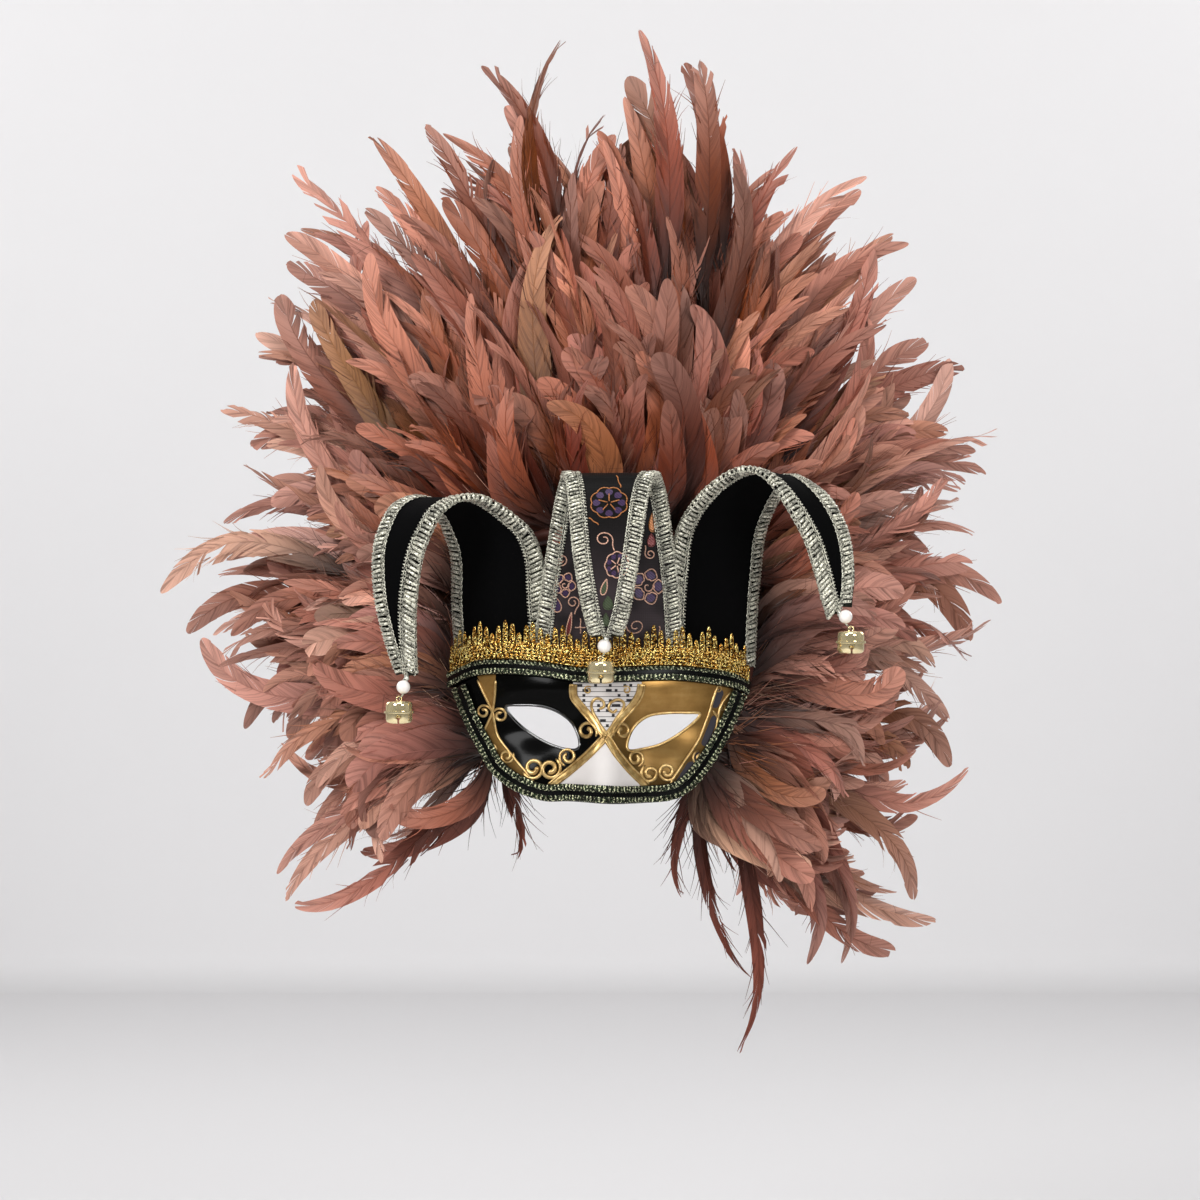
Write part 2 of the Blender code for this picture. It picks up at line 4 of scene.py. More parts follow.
import bmesh
import bpy
import numpy as np
from mathutils import Matrix, Vector

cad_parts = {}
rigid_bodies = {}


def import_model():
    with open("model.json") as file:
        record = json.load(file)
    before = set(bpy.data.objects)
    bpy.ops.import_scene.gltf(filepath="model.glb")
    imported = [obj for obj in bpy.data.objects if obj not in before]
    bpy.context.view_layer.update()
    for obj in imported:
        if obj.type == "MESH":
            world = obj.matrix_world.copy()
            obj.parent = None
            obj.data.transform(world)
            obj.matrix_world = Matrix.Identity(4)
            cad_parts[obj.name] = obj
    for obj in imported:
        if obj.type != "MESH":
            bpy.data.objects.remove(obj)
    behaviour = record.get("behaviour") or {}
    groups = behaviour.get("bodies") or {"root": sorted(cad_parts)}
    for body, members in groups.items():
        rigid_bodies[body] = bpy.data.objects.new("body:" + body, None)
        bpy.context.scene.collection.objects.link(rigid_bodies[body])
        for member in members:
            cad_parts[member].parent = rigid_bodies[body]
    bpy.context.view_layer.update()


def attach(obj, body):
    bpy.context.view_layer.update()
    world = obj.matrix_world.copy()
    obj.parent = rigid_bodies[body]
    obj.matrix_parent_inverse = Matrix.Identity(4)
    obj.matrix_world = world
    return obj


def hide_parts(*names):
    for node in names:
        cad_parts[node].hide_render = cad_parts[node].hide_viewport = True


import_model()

# Camera: straight on from about two metres, a little above the brow, the way a mask is shown on a display
# head, with the whole fan of feathers in view.
CAMERA_DISTANCE = 2.1
CAMERA_HEIGHT = 0.0708
VIEW_WIDTH = 0.696
camera_data = bpy.data.cameras.new("camera")
camera_data.sensor_width = 36
camera_data.lens = camera_data.sensor_width * CAMERA_DISTANCE / VIEW_WIDTH
camera_data.clip_end = 20
camera = bpy.data.objects.new("camera", camera_data)
camera.location = (0, -CAMERA_DISTANCE, CAMERA_HEIGHT)
camera.rotation_euler = (math.radians(90), 0, 0)
bpy.context.scene.collection.objects.link(camera)
bpy.context.scene.camera = camera
bpy.context.scene.view_settings.view_transform = "Standard"

# Soft studio light: large softboxes in front on either side, overhead and behind, three lamps that wash the
# wall, and pale light all round that is stronger from behind.
WORLD_FRONT = 0.10
WORLD_BACK = 0.36
SOFTBOXES = (
    # name, x, y, z, aimed at y, aimed at z, size, watts
    ("softbox_left", -1.3, -1.7, 1.1, 0.0, 0.05, 0.8, 38),
    ("softbox_right", 1.3, -1.9, 0.9, 0.0, 0.05, 0.8, 25),
    ("softbox_top", 0.0, -0.9, 1.8, 0.0, 0.05, 1.1, 15),
    ("softbox_rear_left", -1.5, 1.3, 0.9, 0.05, 0.1, 0.9, 9),
    ("softbox_rear_right", 1.5, 1.3, 0.9, 0.05, 0.1, 0.9, 9),
    ("wall_light", 0.0, 1.2, 2.4, 2.88, 0.3, 2.28, 17.5),
    ("wall_light_left", -1.5, 1.7, 1.2, 2.8, 0.5, 0.8, 6.4),
    ("wall_light_right", 1.5, 1.7, 1.2, 2.8, 0.5, 0.8, 6.4),
)
for name, x, y, z, aim_y, aim_z, size, watts in SOFTBOXES:
    light = bpy.data.lights.new(name, "AREA")
    light.size = size
    light.energy = watts
    lamp = bpy.data.objects.new(name, light)
    lamp.location = (x, y, z)
    aim = Vector((0, aim_y, aim_z)) - lamp.location
    lamp.rotation_euler = aim.to_track_quat("-Z", "Y").to_euler()
    bpy.context.scene.collection.objects.link(lamp)
world = bpy.data.worlds.new("studio")
world.use_nodes = True
sky = world.node_tree.nodes["Background"]
direction = world.node_tree.nodes.new("ShaderNodeTexCoord")
parts = world.node_tree.nodes.new("ShaderNodeSeparateXYZ")
depth_range = world.node_tree.nodes.new("ShaderNodeMapRange")
for socket, value in (("From Min", -0.9), ("From Max", 0.6), ("To Min", WORLD_FRONT), ("To Max", WORLD_BACK)):
    depth_range.inputs[socket].default_value = value
world.node_tree.links.new(direction.outputs["Generated"], parts.inputs["Vector"])
world.node_tree.links.new(parts.outputs["Y"], depth_range.inputs["Value"])
world.node_tree.links.new(depth_range.outputs["Result"], sky.inputs["Strength"])
sky.inputs["Color"].default_value = (0.94, 0.94, 0.96, 1)
bpy.context.scene.world = world


# Floor and wall: one pale sweep of paper, below and behind, which is no part of the mask. Its material and
# all the others are written with the two classes here.
def by_node(operation, swapped=False):
    """Method for one of Signal's operators, which adds a Math node."""
    return lambda signal, other: signal.maths(operation, *((other, signal) if swapped else (signal, other)))


class Signal:
    """The output of a material's node: sums written with it add the material's Math nodes."""

    def __init__(self, finish, socket):
        self.finish = finish
        self.socket = socket

    def maths(self, operation, *values):
        """Result of a Math node on the values."""
        return self.finish.node("ShaderNodeMath", {"operation": operation}, dict(enumerate(values)))

    __add__, __radd__ = by_node("ADD"), by_node("ADD", swapped=True)
    __sub__, __rsub__ = by_node("SUBTRACT"), by_node("SUBTRACT", swapped=True)
    __mul__, __rmul__ = by_node("MULTIPLY"), by_node("MULTIPLY", swapped=True)
    __truediv__ = by_node("DIVIDE")
    __gt__, __lt__ = by_node("GREATER_THAN"), by_node("LESS_THAN")

    def wave(self):
        """Sine of the value, brought to 0 to 1."""
        return 0.5 + 0.5 * self.maths("SINE", self)


class Finish:
    """A procedural material, its Principled shader's constants set by socket name."""

    def __init__(self, name, **constants):
        self.material = bpy.data.materials.new(name)
        self.material.use_nodes = True
        self.tree = self.material.node_tree
        self.shader = self.tree.nodes["Principled BSDF"]
        for socket, value in constants.items():
            self.shader.inputs[socket.replace("_", " ")].default_value = value

    def node(self, kind, settings=None, values=None, output=0):
        """A node with its settings made first, then the values or links of its sockets."""
        made = self.tree.nodes.new(kind)
        for setting, choice in (settings or {}).items():
            if setting == "stops":
                for number, (place, colour) in enumerate(choice):
                    stops = made.color_ramp.elements
                    stop = stops[number] if number < 2 else stops.new(place)
                    stop.position = place
                    stop.color = (*colour, 1)
            else:
                setattr(made, setting, choice)
        for socket, value in (values or {}).items():
            if isinstance(value, Signal):
                self.tree.links.new(value.socket, made.inputs[socket])
            else:
                made.inputs[socket].default_value = value
        return Signal(self, made.outputs[output])

    def place(self):
        """Object coordinates, which are the row's own metres."""
        return self.node("ShaderNodeTexCoord", output="Object")

    def attribute(self, name, output="Vector"):
        """A value that the mesh carries."""
        return self.node("ShaderNodeAttribute", {"attribute_name": name}, output=output)

    def part(self, vector, axis):
        """One of a vector's parts, X, Y or Z."""
        return self.node("ShaderNodeSeparateXYZ", values={0: vector}, output=axis)

    def join(self, x, y, z):
        """A vector of three values."""
        return self.node("ShaderNodeCombineXYZ", values={0: x, 1: y, 2: z})

    def noise(self, vector, scale, detail=3.0, roughness=0.5):
        """Noise from 0 to 1."""
        return self.node("ShaderNodeTexNoise", values={
            "Vector": vector, "Scale": scale, "Detail": detail, "Roughness": roughness})

    def mix(self, factor, first, second, blend="MIX"):
        """Colours mixed by a factor."""
        settings = {"data_type": "RGBA", "blend_type": blend, "clamp_factor": True}
        first, second = (value if isinstance(value, Signal) else (*value, 1) for value in (first, second))
        return self.node("ShaderNodeMix", settings, {0: factor, 6: first, 7: second}, output=2)

    def ramp(self, factor, *stops):
        """Colour read from a ramp's (place, colour) stops."""
        return self.node("ShaderNodeValToRGB", {"stops": stops}, {0: factor})

    def span(self, value, low, high):
        """Value eased from 0 at low to 1 at high."""
        settings = {"interpolation_type": "SMOOTHSTEP"}
        return self.node("ShaderNodeMapRange", settings, {0: value, 1: low, 2: high})

    def feed(self, **links):
        """Links to the shader's sockets."""
        for socket, signal in links.items():
            self.tree.links.new(signal.socket, self.shader.inputs[socket.replace("_", " ")])

    def relief(self, height, distance, strength=1.0):
        """Bump of a height that reaches the given distance."""
        values = {"Height": height, "Distance": distance, "Strength": strength}
        self.feed(Normal=self.node("ShaderNodeBump", values=values))


def push(bm, extruded, way):
    """Moves the points that an extrusion made, and turns the faces outwards."""
    points = [item for item in extruded["geom"] if isinstance(item, bmesh.types.BMVert)]
    bmesh.ops.translate(bm, vec=way, verts=points)
    bmesh.ops.recalc_face_normals(bm, faces=bm.faces)


def shown(name, mesh, material):
    """Object in the scene from a mesh, smooth, with its material."""
    mesh.materials.append(material)
    mesh.shade_smooth()
    obj = bpy.data.objects.new(name, mesh)
    bpy.context.scene.collection.objects.link(obj)
    return obj


def new_object(name, bm, material):
    """Object from a bmesh, which is freed."""
    mesh = bpy.data.meshes.new(name)
    bm.to_mesh(mesh)
    bm.free()
    return shown(name, mesh, material)


FLOOR_HEIGHT = -0.457
FLOOR_FRONT = -9.0
WALL_DISTANCE = 2.8
WALL_TOP = 5.0
SWEEP_RADIUS = 0.05
SWEEP_STEPS = 8
SWEEP_HALF_WIDTH = 9.0
paper = Finish("backdrop_paper", Roughness=0.85)
paper_shade = paper.mix(paper.noise(paper.place(), 1.2), (0.82, 0.81, 0.815), (0.86, 0.85, 0.855))
on_wall = paper.span(paper.part(paper.place(), "Z"), FLOOR_HEIGHT, FLOOR_HEIGHT + SWEEP_RADIUS)
paper.feed(Base_Color=paper.mix(on_wall, (0.69, 0.68, 0.685), paper_shade))
bm = bmesh.new()
profile = [(FLOOR_FRONT, FLOOR_HEIGHT)]
for step in range(SWEEP_STEPS + 1):
    angle = math.radians(90 * step / SWEEP_STEPS)
    profile.append((WALL_DISTANCE - SWEEP_RADIUS * (1 - math.sin(angle)),
                    FLOOR_HEIGHT + SWEEP_RADIUS * (1 - math.cos(angle))))
profile.append((WALL_DISTANCE, WALL_TOP))
start = [bm.verts.new((-SWEEP_HALF_WIDTH, y, z)) for y, z in profile]
lines = [bm.edges.new(pair) for pair in zip(start, start[1:])]
push(bm, bmesh.ops.extrude_edge_only(bm, edges=lines), (2 * SWEEP_HALF_WIDTH, 0, 0))
backdrop = new_object("backdrop", bm, paper.material)


# Feathers: dyed rooster tail feathers, dusty rose with some rust and straw, sewn by their quills to three
# cords behind the crown and the cheeks. They overlap like shingles, short ones in front, and their tips
# droop or curl.
MM = 0.001
CORD_ROUTE = (
    # x, y, z
    (-54, 25, -27), (-66, 34, -12), (-76, 43, 8), (-83, 53, 32), (-84, 60, 60), (-72, 59, 86), (-57, 53, 98),
    (-38, 36, 107), (0, 24, 114), (42, 37, 107), (61, 54, 98), (76, 60, 87), (88, 62, 60), (88, 55, 32),
    (78, 45, 8), (68, 36, -12), (55, 26, -27),
)
OUTER_FEATHERS = (
    # along the cord, tip x, tip z, bend, width, back
    (0.02, -192, -113, 14, 31, 55),
    (0.05, -178, -72, 16, 28, 75),
    (0.08, -203, -38, 18, 31, 55),
    (0.11, -222, -10, 14, 31, 75),
    (0.15, -235, 29, 18, 31, 60),
    (0.19, -258, 50, 12, 34, 75),
    (0.22, -272, 75, 16, 34, 60),
    (0.25, -236, 119, 20, 31, 80),
    (0.28, -204, 146, 12, 31, 60),
    (0.31, -237, 190, 14, 34, 80),
    (0.34, -212, 224, 20, 31, 60),
    (0.37, -206, 256, 12, 31, 80),
    (0.40, -194, 296, 16, 31, 60),
    (0.43, -190, 335, 22, 34, 80),
    (0.45, -141, 358, 12, 31, 60),
    (0.47, -108, 363, 18, 31, 80),
    (0.49, -73, 398, 8, 31, 60),
    (0.50, -50, 362, 12, 28, 75),
    (0.51, -24, 414, -8, 31, 60),
    (0.52, 2, 370, -10, 28, 75),
    (0.53, 24, 420, 10, 31, 60),
    (0.54, 52, 404, 24, 36, 75),
    (0.56, 84, 350, 12, 31, 60),
    (0.58, 122, 352, -14, 31, 80),
    (0.60, 166, 334, -18, 34, 60),
    (0.62, 184, 300, -16, 31, 80),
    (0.65, 196, 270, -14, 31, 60),
    (0.68, 228, 216, -18, 34, 80),
    (0.71, 246, 172, -12, 34, 60),
    (0.74, 222, 146, -14, 28, 80),
    (0.77, 232, 112, -10, 31, 60),
    (0.80, 251, 69, -16, 34, 75),
    (0.83, 226, 32, -12, 31, 60),
    (0.86, 216, 0, 10, 31, 75),
    (0.88, 228, -34, 12, 31, 60),
    (0.90, 196, -62, 10, 31, 75),
    (0.93, 182, -108, 14, 31, 55),
    (0.95, 208, -127, 26, 31, 70),
    (0.975, 148, -152, -10, 31, 50),
    (0.99, 82, -200, -14, 24, 30),
)
DANGLING_FEATHERS = (
    # along the cord, tip x, tip z, bend, width, back
    (0.03, -50, -84, -5, 22, 8),
    (0.965, 49, -108, 5, 18, 12),
    (0.972, 92, -158, 8, 20, 30),
    (0.45, -33, 62, 3, 30, 6),
    (0.56, 44, 70, -3, 30, 6),
    (0.46, -30, 205, 4, 34, 10),
    (0.44, -44, 195, -4, 32, 12),
)
DYES = (
    # weight at the sides, weight over the crown, red, green, blue
    (0.30, 0.27, 0.330, 0.098, 0.060),
    (0.30, 0.10, 0.430, 0.168, 0.114),
    (0.09, 0.23, 0.190, 0.052, 0.029),
    (0.08, 0.27, 0.280, 0.082, 0.028),
    (0.20, 0.04, 0.540, 0.265, 0.190),
    (0.03, 0.08, 0.280, 0.112, 0.042),
)
PALE = np.array((0.60, 0.345, 0.275))
OLD_RED = np.array((0.180, 0.048, 0.030))
RACHIS_POINTS = 20
RACHIS_THICKNESS = (0.55, 0.10)
BARB_COLUMNS = 34
BARB_ROWS = 4
BARE_QUILL = 0.04
NARROW_WIDTH = 25
FILL_FEATHERS = 500
WISPS = 30
WISP_POINTS = 4
WISP_LENGTHS = (12, 36)
DOWN_TUFTS = 150
DOWN_STRANDS = 20
DOWN_LENGTHS = (16, 50)
CORD_RADIUS = 4.6 * MM
BACK_DEPTH = 28 * MM
REACH_BACK = 168 * MM
OUTER_LENGTHS = (150, 195)
FILL_LENGTHS = (125, 190)
SHORT_RUN = 110 * MM
SCATTER = 0.11
SPARSE = ((0.28, 0.46), (0.58, 0.86))
FRONT_LAYER = 0.25
MIDDLE_LAYER = 0.62
cord_line = np.array(CORD_ROUTE) * MM
outer = np.array(OUTER_FEATHERS)
dyes = np.array(DYES)
rng = np.random.default_rng(7)


def along_line(places, run, line):
    """Points of a line at places in its run, which has a number for each of its points."""
    return np.stack([np.interp(places, run, line[:, axis]) for axis in range(3)], axis=-1)


def at(line, share):
    """Points at shares of a line's number of spans."""
    return along_line(np.clip(share, 0, 1) * (len(line) - 1), np.arange(len(line)), line)


def distances(line):
    """How far along a line each of its points lies."""
    return np.concatenate([[0], np.cumsum(np.linalg.norm(np.diff(line, axis=0), axis=1))])


def unit(vectors):
    """Vectors brought to a length of one."""
    return vectors / np.maximum(np.linalg.norm(vectors, axis=-1, keepdims=True), 1e-9)


def eased(value, low, high):
    """Smooth step from 0 at low to 1 at high."""
    share = np.clip((value - low) / (high - low), 0, 1)
    return share * share * (3 - 2 * share)


def carry(mesh, name, values, kind="FLOAT_VECTOR", part="vector"):
    """Gives a mesh an attribute with a value at each of its points."""
    mesh.attributes.new(name, kind, "POINT").data.foreach_set(part, values.astype(np.float32).ravel())


class Gathered:
    """Points, faces, colours and barb places of many small things, joined in one mesh."""

    def __init__(self):
        self.points, self.faces, self.tints, self.places = [], [], [], []
        self.count = 0

    def add(self, points, faces, tint=(1, 1, 1), place=(0, 0, 0)):
        """Adds a thing whose faces all have the same number of corners."""
        self.points.append(points.reshape(-1, 3))
        self.faces.append(faces + self.count)
        for kept, value in ((self.tints, tint), (self.places, place)):
            kept.append(np.broadcast_to(np.asarray(value, float), points.shape).reshape(-1, 3))
        self.count += points.size // 3

    def grid(self, points, tint=(1, 1, 1), place=(0, 0, 0), closed=False):
        """Adds a sheet of rows and columns of points, or a tube with ends when each row closes on itself."""
        rows, columns = points.shape[:2]
        numbers = np.arange(rows * columns).reshape(rows, columns)
        ends = np.array([numbers[0, ::-1], numbers[-1]]) + self.count
        if closed:
            numbers = np.concatenate([numbers, numbers[:, :1]], axis=1)
        corners = [numbers[:-1, :-1], numbers[:-1, 1:], numbers[1:, 1:], numbers[1:, :-1]]
        self.add(points, np.stack(corners, axis=-1).reshape(-1, 4), tint, place)
        if closed:
            self.faces.append(ends)

    def strips(self, points, tint=(1, 1, 1), place=(0, 0, 0)):
        """Adds thin strips, each of them pairs of points along a strand."""
        numbers = np.arange(points[..., 0].size).reshape(points.shape[:3])
        corners = [numbers[:, :-1, 0], numbers[:, :-1, 1], numbers[:, 1:, 1], numbers[:, 1:, 0]]
        self.add(points, np.stack(corners, axis=-1).reshape(-1, 4), tint, place)

    def tube(self, line, facing, radius, sides=3, tint=(1, 1, 1), place=(0, 0, 0), flat=1.0):
        """Adds a tube along a line, its section turned so that its flat way looks along facing."""
        run = unit(np.gradient(line, axis=0))
        side = unit(np.cross(run, facing))
        up = np.cross(side, run)
        turn = 2 * np.pi * np.arange(sides) / sides
        radius = np.broadcast_to(np.asarray(radius, float), len(line))[:, None, None]
        ring = side[:, None] * np.cos(turn)[None, :, None] + flat * up[:, None] * np.sin(turn)[None, :, None]
        tint = np.asarray(tint, float)
        if tint.ndim == 2:
            tint = tint[:, None]
        self.grid(line[:, None] + radius * ring, tint, place, closed=True)

    def make(self, name, material):
        """The joined mesh as an object with its colours as attributes."""
        loops = np.concatenate([f.ravel() for f in self.faces])
        sizes = np.concatenate([np.full(len(f), f.shape[1]) for f in self.faces])
        mesh = bpy.data.meshes.new(name)
        mesh.vertices.add(self.count)
        mesh.vertices.foreach_set("co", np.concatenate(self.points).astype(np.float32).ravel())
        mesh.loops.add(len(loops))
        mesh.loops.foreach_set("vertex_index", loops.astype(np.int32))
        mesh.polygons.add(len(sizes))
        starts = np.concatenate([[0], np.cumsum(sizes)[:-1]])
        mesh.polygons.foreach_set("loop_start", starts.astype(np.int32))
        mesh.update(calc_edges=True)
        tints = np.concatenate(self.tints)
        tints = np.concatenate([tints, np.ones((len(tints), 1))], axis=1)
        carry(mesh, "tint", tints, "FLOAT_COLOR", "color")
        carry(mesh, "place", np.concatenate(self.places))
        return shown(name, mesh, material)


def smooth_line(points, steps, closed=False):
    """Catmull-Rom line through the points, with the given steps in each span."""
    points = np.asarray(points, float)
    count = len(points)
    spans = count if closed else count - 1
    numbers = np.arange(spans)[:, None] + np.array([-1, 0, 1, 2])
    numbers = numbers % count if closed else np.clip(numbers, 0, count - 1)
    a, b, c, d = (points[numbers[:, k]][:, None] for k in range(4))
    t = (np.arange(steps) / steps)[None, :, None]
    line = 0.5 * (2 * b + (c - a) * t + (2 * a - 5 * b + 4 * c - d) * t ** 2
                  + (3 * b - a - 3 * c + d) * t ** 3)
    line = line.reshape(-1, points.shape[1])
    return line if closed else np.vstack([line, points[-1]])


def add_feather(heap, line, roll, width, tint, blunt, fray, tip_paling_and_glow=1.0):
    """A feather on a line from quill to tip: a rachis, two vanes of barbs along it, and loose wisps."""
    length = np.linalg.norm(np.diff(line, axis=0), axis=1).sum()
    run = unit(np.gradient(line, axis=0))
    flat_side = unit(np.cross(run, (0.0, -1.0, 0.0)))
    flat_up = np.cross(flat_side, run)
    roll = roll[:, None]
    side = flat_side * np.cos(roll) + flat_up * np.sin(roll)
    up = flat_up * np.cos(roll) - flat_side * np.sin(roll)
    spot = np.arange(RACHIS_POINTS)
    half = 0.5 * width
    close = 0.62 + 0.30 * blunt
    number = rng.uniform(0, 100)

    def outline(u):
        """Half width of a vane at shares of the length."""
        rise = 0.34 + 0.66 * eased(u, 0.03, 0.42)
        narrow = 1 - (0.12 + 0.52 * (1 - blunt)) * eased(u, 0.40, 0.97)
        over = np.clip((u - close) / (1 - close), 0, 1)
        return half * rise * narrow * np.sqrt(np.maximum(1 - over ** 2, 0.0))

    def placed(u):
        """The rachis's points and its ways aside, up and ahead at shares of the length."""
        return [along_line(u * (RACHIS_POINTS - 1), spot, values) for values in (line, side, up, run)]

    def painted_root_shade(u):
        """Painted shade: a factor that darkens the quill ends, where the feathers lie deep in each other's
        shade.
        """
        return (0.05 + 0.97 * eased(u, 0.08, 0.78))[..., None]

    even = 1 - (1 - np.linspace(0, 1, BARB_COLUMNS)) ** 1.5
    lead = min(0.03 + rng.uniform(2.2, 3.8) * half / length, 0.28)
    root = BARE_QUILL + 0.89 * even
    end = BARE_QUILL + lead + (1 - BARE_QUILL - lead) * even
    cup = rng.uniform(-0.15, 0.45)
    steps = np.linspace(0, 1, BARB_ROWS)
    for hand in (-1, 1):
        cuts = [0]
        while cuts[-1] < BARB_COLUMNS - 1:
            step = rng.integers(1, 4) if rng.random() < fray else rng.integers(5, 15)
            cuts.append(min(cuts[-1] + int(step), BARB_COLUMNS - 1))
        for low, high in zip(cuts, cuts[1:]):
            columns = np.arange(low, high + 1)
            loose = high - low < 4
            u_root, u_end = root[columns], end[columns]
            splay = 1 + (rng.uniform(-0.15, 0.55) * (1 - u_root.mean()) if loose else rng.normal(0, 0.02))
            closing = rng.uniform(0.1, 0.7) if loose else rng.uniform(0.0, 0.05)
            slide = rng.normal(0, 0.02 if loose else 0.003)
            lift = rng.normal(0, 3.0 if loose else 0.5) * MM
            u_out = u_end + (u_end.mean() - u_end) * closing + slide * (1 - u_end)
            u = np.clip(u_root[:, None] + (u_out - u_root)[:, None] * steps ** 1.3, 0, 1)
            reach = (outline(u_end) * splay)[:, None] * steps
            base, across, above, _ = placed(u)
            rise = -cup * reach ** 2 / half + lift * steps ** 2
            points = base + across * (hand * reach)[..., None] + above * rise[..., None]
            # Paler towards the tip: partly the dye's own fading, partly painted light for light shining
            # through the thin tips.
            pale = (0.46 * eased(u, 0.5, 1.0) * tip_paling_and_glow)[..., None]
            # Each clump gets its own tone, and the vane is painted lighter towards its edge as a sheen
            # highlight.
            shade = rng.normal(1.0, 0.13 if loose else 0.07) * (0.92 + 0.14 * steps)[:, None]
            colour = (tint * (1 - pale) + PALE * pale) * painted_root_shade(u) * shade
            place = np.stack([np.broadcast_to(u_root[:, None] * length / MM, u.shape), u * length / MM,
                              np.full(u.shape, number + 5 * hand)], axis=-1)
            turn = slice(None) if hand > 0 else slice(None, None, -1)
            heap.grid(points[turn], colour[turn], place[turn])
    thin = np.linspace(*RACHIS_THICKNESS, RACHIS_POINTS) * MM
    quill_tint = tint * 1.05 * painted_root_shade(spot / RACHIS_POINTS)
    heap.tube(line[:-2] + up[:-2] * 0.1 * MM, up[:-2], thin[:-2], 3, quill_tint[:-2], (0, 0, number))
    count = int(WISPS * (0.4 + 1.6 * fray))
    each = (count, 1, 1)
    u = rng.uniform(0.02, 0.85, (count, 1)) ** 1.2
    base, across, above, ahead = placed(u)
    hand = rng.choice((-1.0, 1.0), each)
    reach = rng.uniform(*WISP_LENGTHS, each) * MM * (1 - 0.5 * u[..., None])
    angle = rng.uniform(0.05, 0.55, each)
    share = np.linspace(0, 1, WISP_POINTS)[None, :, None]
    opening = share ** rng.uniform(0.7, 1.8, each)
    away = 0.7 * outline(u)[..., None] + reach * np.sin(angle) * opening
    strand = base + ahead * reach * np.cos(angle) * share + across * hand * away
    strand = strand + above * reach * rng.normal(0, 0.22, each) * share ** 2
    breadth = across * (0.38 - 0.30 * share) * MM
    shade = rng.uniform(0.55, 1.15, (count, 1, 1, 1)) * painted_root_shade(u)[..., None]
    heap.strips(np.stack([strand - breadth, strand + breadth], axis=2), tint * shade, (0, 0, number))


def feather_line(root, tip, bend, hook, curl):
    """Line from a root to a tip: bent sideways, hooked near its end and curled to the front or back."""
    share = np.linspace(0, 1, RACHIS_POINTS)
    run = tip - root
    side = unit(np.array([run[2], 0, -run[0]]))
    line = root + run * share[:, None]
    line[:, 1] = root[1] + run[1] * share ** 1.5
    away = bend * 4 * share * (1 - share) + hook * 9.5 * share ** 3 * (1 - share)
    away = away + 0.35 * bend * np.sin(2 * np.pi * share)
    line += side * away[:, None]
    line[:, 1] = np.minimum(line[:, 1] + curl * share ** 3, REACH_BACK)
    return line


def last_stretch(line, length):
    """The end of a line, at most the given length, with the same number of points."""
    run = distances(line)
    return along_line(np.linspace(max(run[-1] - length, 0), run[-1], RACHIS_POINTS), run, line)


vane = Finish("feather_vane", Roughness=0.44, Specular_IOR_Level=0.2, Sheen_Weight=0.015,
              Sheen_Roughness=0.35, Sheen_Tint=(1.0, 0.80, 0.74, 1))
vane_place = vane.attribute("place")
root_place, barb_place, feather_number = (vane.part(vane_place, axis) for axis in "XYZ")
barb_lines = vane.noise(vane.join(root_place * 0.26, barb_place * 0.010, feather_number), 1.0, 5.0, 0.75)
bars = vane.span(vane.noise(vane.join(barb_place * 0.16, 0.0, feather_number), 1.6, 2.0, 0.9), 0.66, 0.72)
patches = vane.noise(vane.join(barb_place * 0.02, 0.0, feather_number), 1.0, 2.0)
tint = vane.attribute("tint", "Color")
# Dark between the barb lines: the barbs' own streaks, deepened as painted shade in the gaps between them.
streak_and_gap_shade = vane.mix(0.62, tint, (0.040, 0.009, 0.005))
lined = vane.mix(vane.span(barb_lines, 0.30, 0.58), streak_and_gap_shade, tint)
vane.feed(Base_Color=vane.mix(bars * 0.75 * patches, lined, (0.045, 0.012, 0.008)))
vane.relief(barb_lines, 0.6 * MM, 0.7)


def dye(x, z):
    """Colour of a feather by its tip: mostly rose at the sides, more rust and straw over the crown, with
    painted shade making those over the crown darker.
    """
    warm = eased(z, 0.04, 0.17) * (1 - eased(abs(x), 0.10, 0.22))
    weights = dyes[:, 0] * (1 - warm) + dyes[:, 1] * warm
    pick = rng.choice(len(dyes), p=weights / weights.sum())
    low = warm * (1 - eased(z, 0.17, 0.29))
    foot = 1 - eased(z, 0.0, 0.15)
    green = rng.normal(1.15 - 0.39 * warm - 0.17 * low - 0.09 * foot, 0.05)
    blue = rng.normal(1.22 - 0.68 * warm - 0.20 * low - 0.15 * foot, 0.06)
    # Darker over the crown and darker still for tips low over it, which is painted shade where the fan lies
    # behind the crown; lower tips are darker and redder too.
    strength = max(rng.normal(1.17 - 0.20 * warm - 0.27 * low - 0.13 * foot, 0.31), 0.34)
    faded = 0.55 * np.clip(strength - 1.0, 0, 0.8)
    return dyes[pick, 2:] * strength * (1.0, green, blue) * (1 - faded) + 0.8 * PALE * faded


def run_to(root, x, z):
    """Upright run from a root to a tip's x and z in millimetres."""
    return np.array([x * MM - root[0], 0, z * MM - root[2]])


def turned(run, angle):
    """A run turned about the front-back axis."""
    return np.array([run[0] * math.cos(angle) + run[2] * math.sin(angle), run[1],
                     run[2] * math.cos(angle) - run[0] * math.sin(angle)])


def rolls(start, twist):
    """How far a feather is turned about its rachis, from quill to tip."""
    return rng.normal(0, start) + rng.normal(0, twist) * np.linspace(0, 1, RACHIS_POINTS)


def add_piece(piece, slot, *nodes):
    """Fixes a piece to the one body, in place of the CAD nodes, which it hides; its slot is not used."""
    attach(piece, "root")
    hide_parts(*nodes)
    return piece


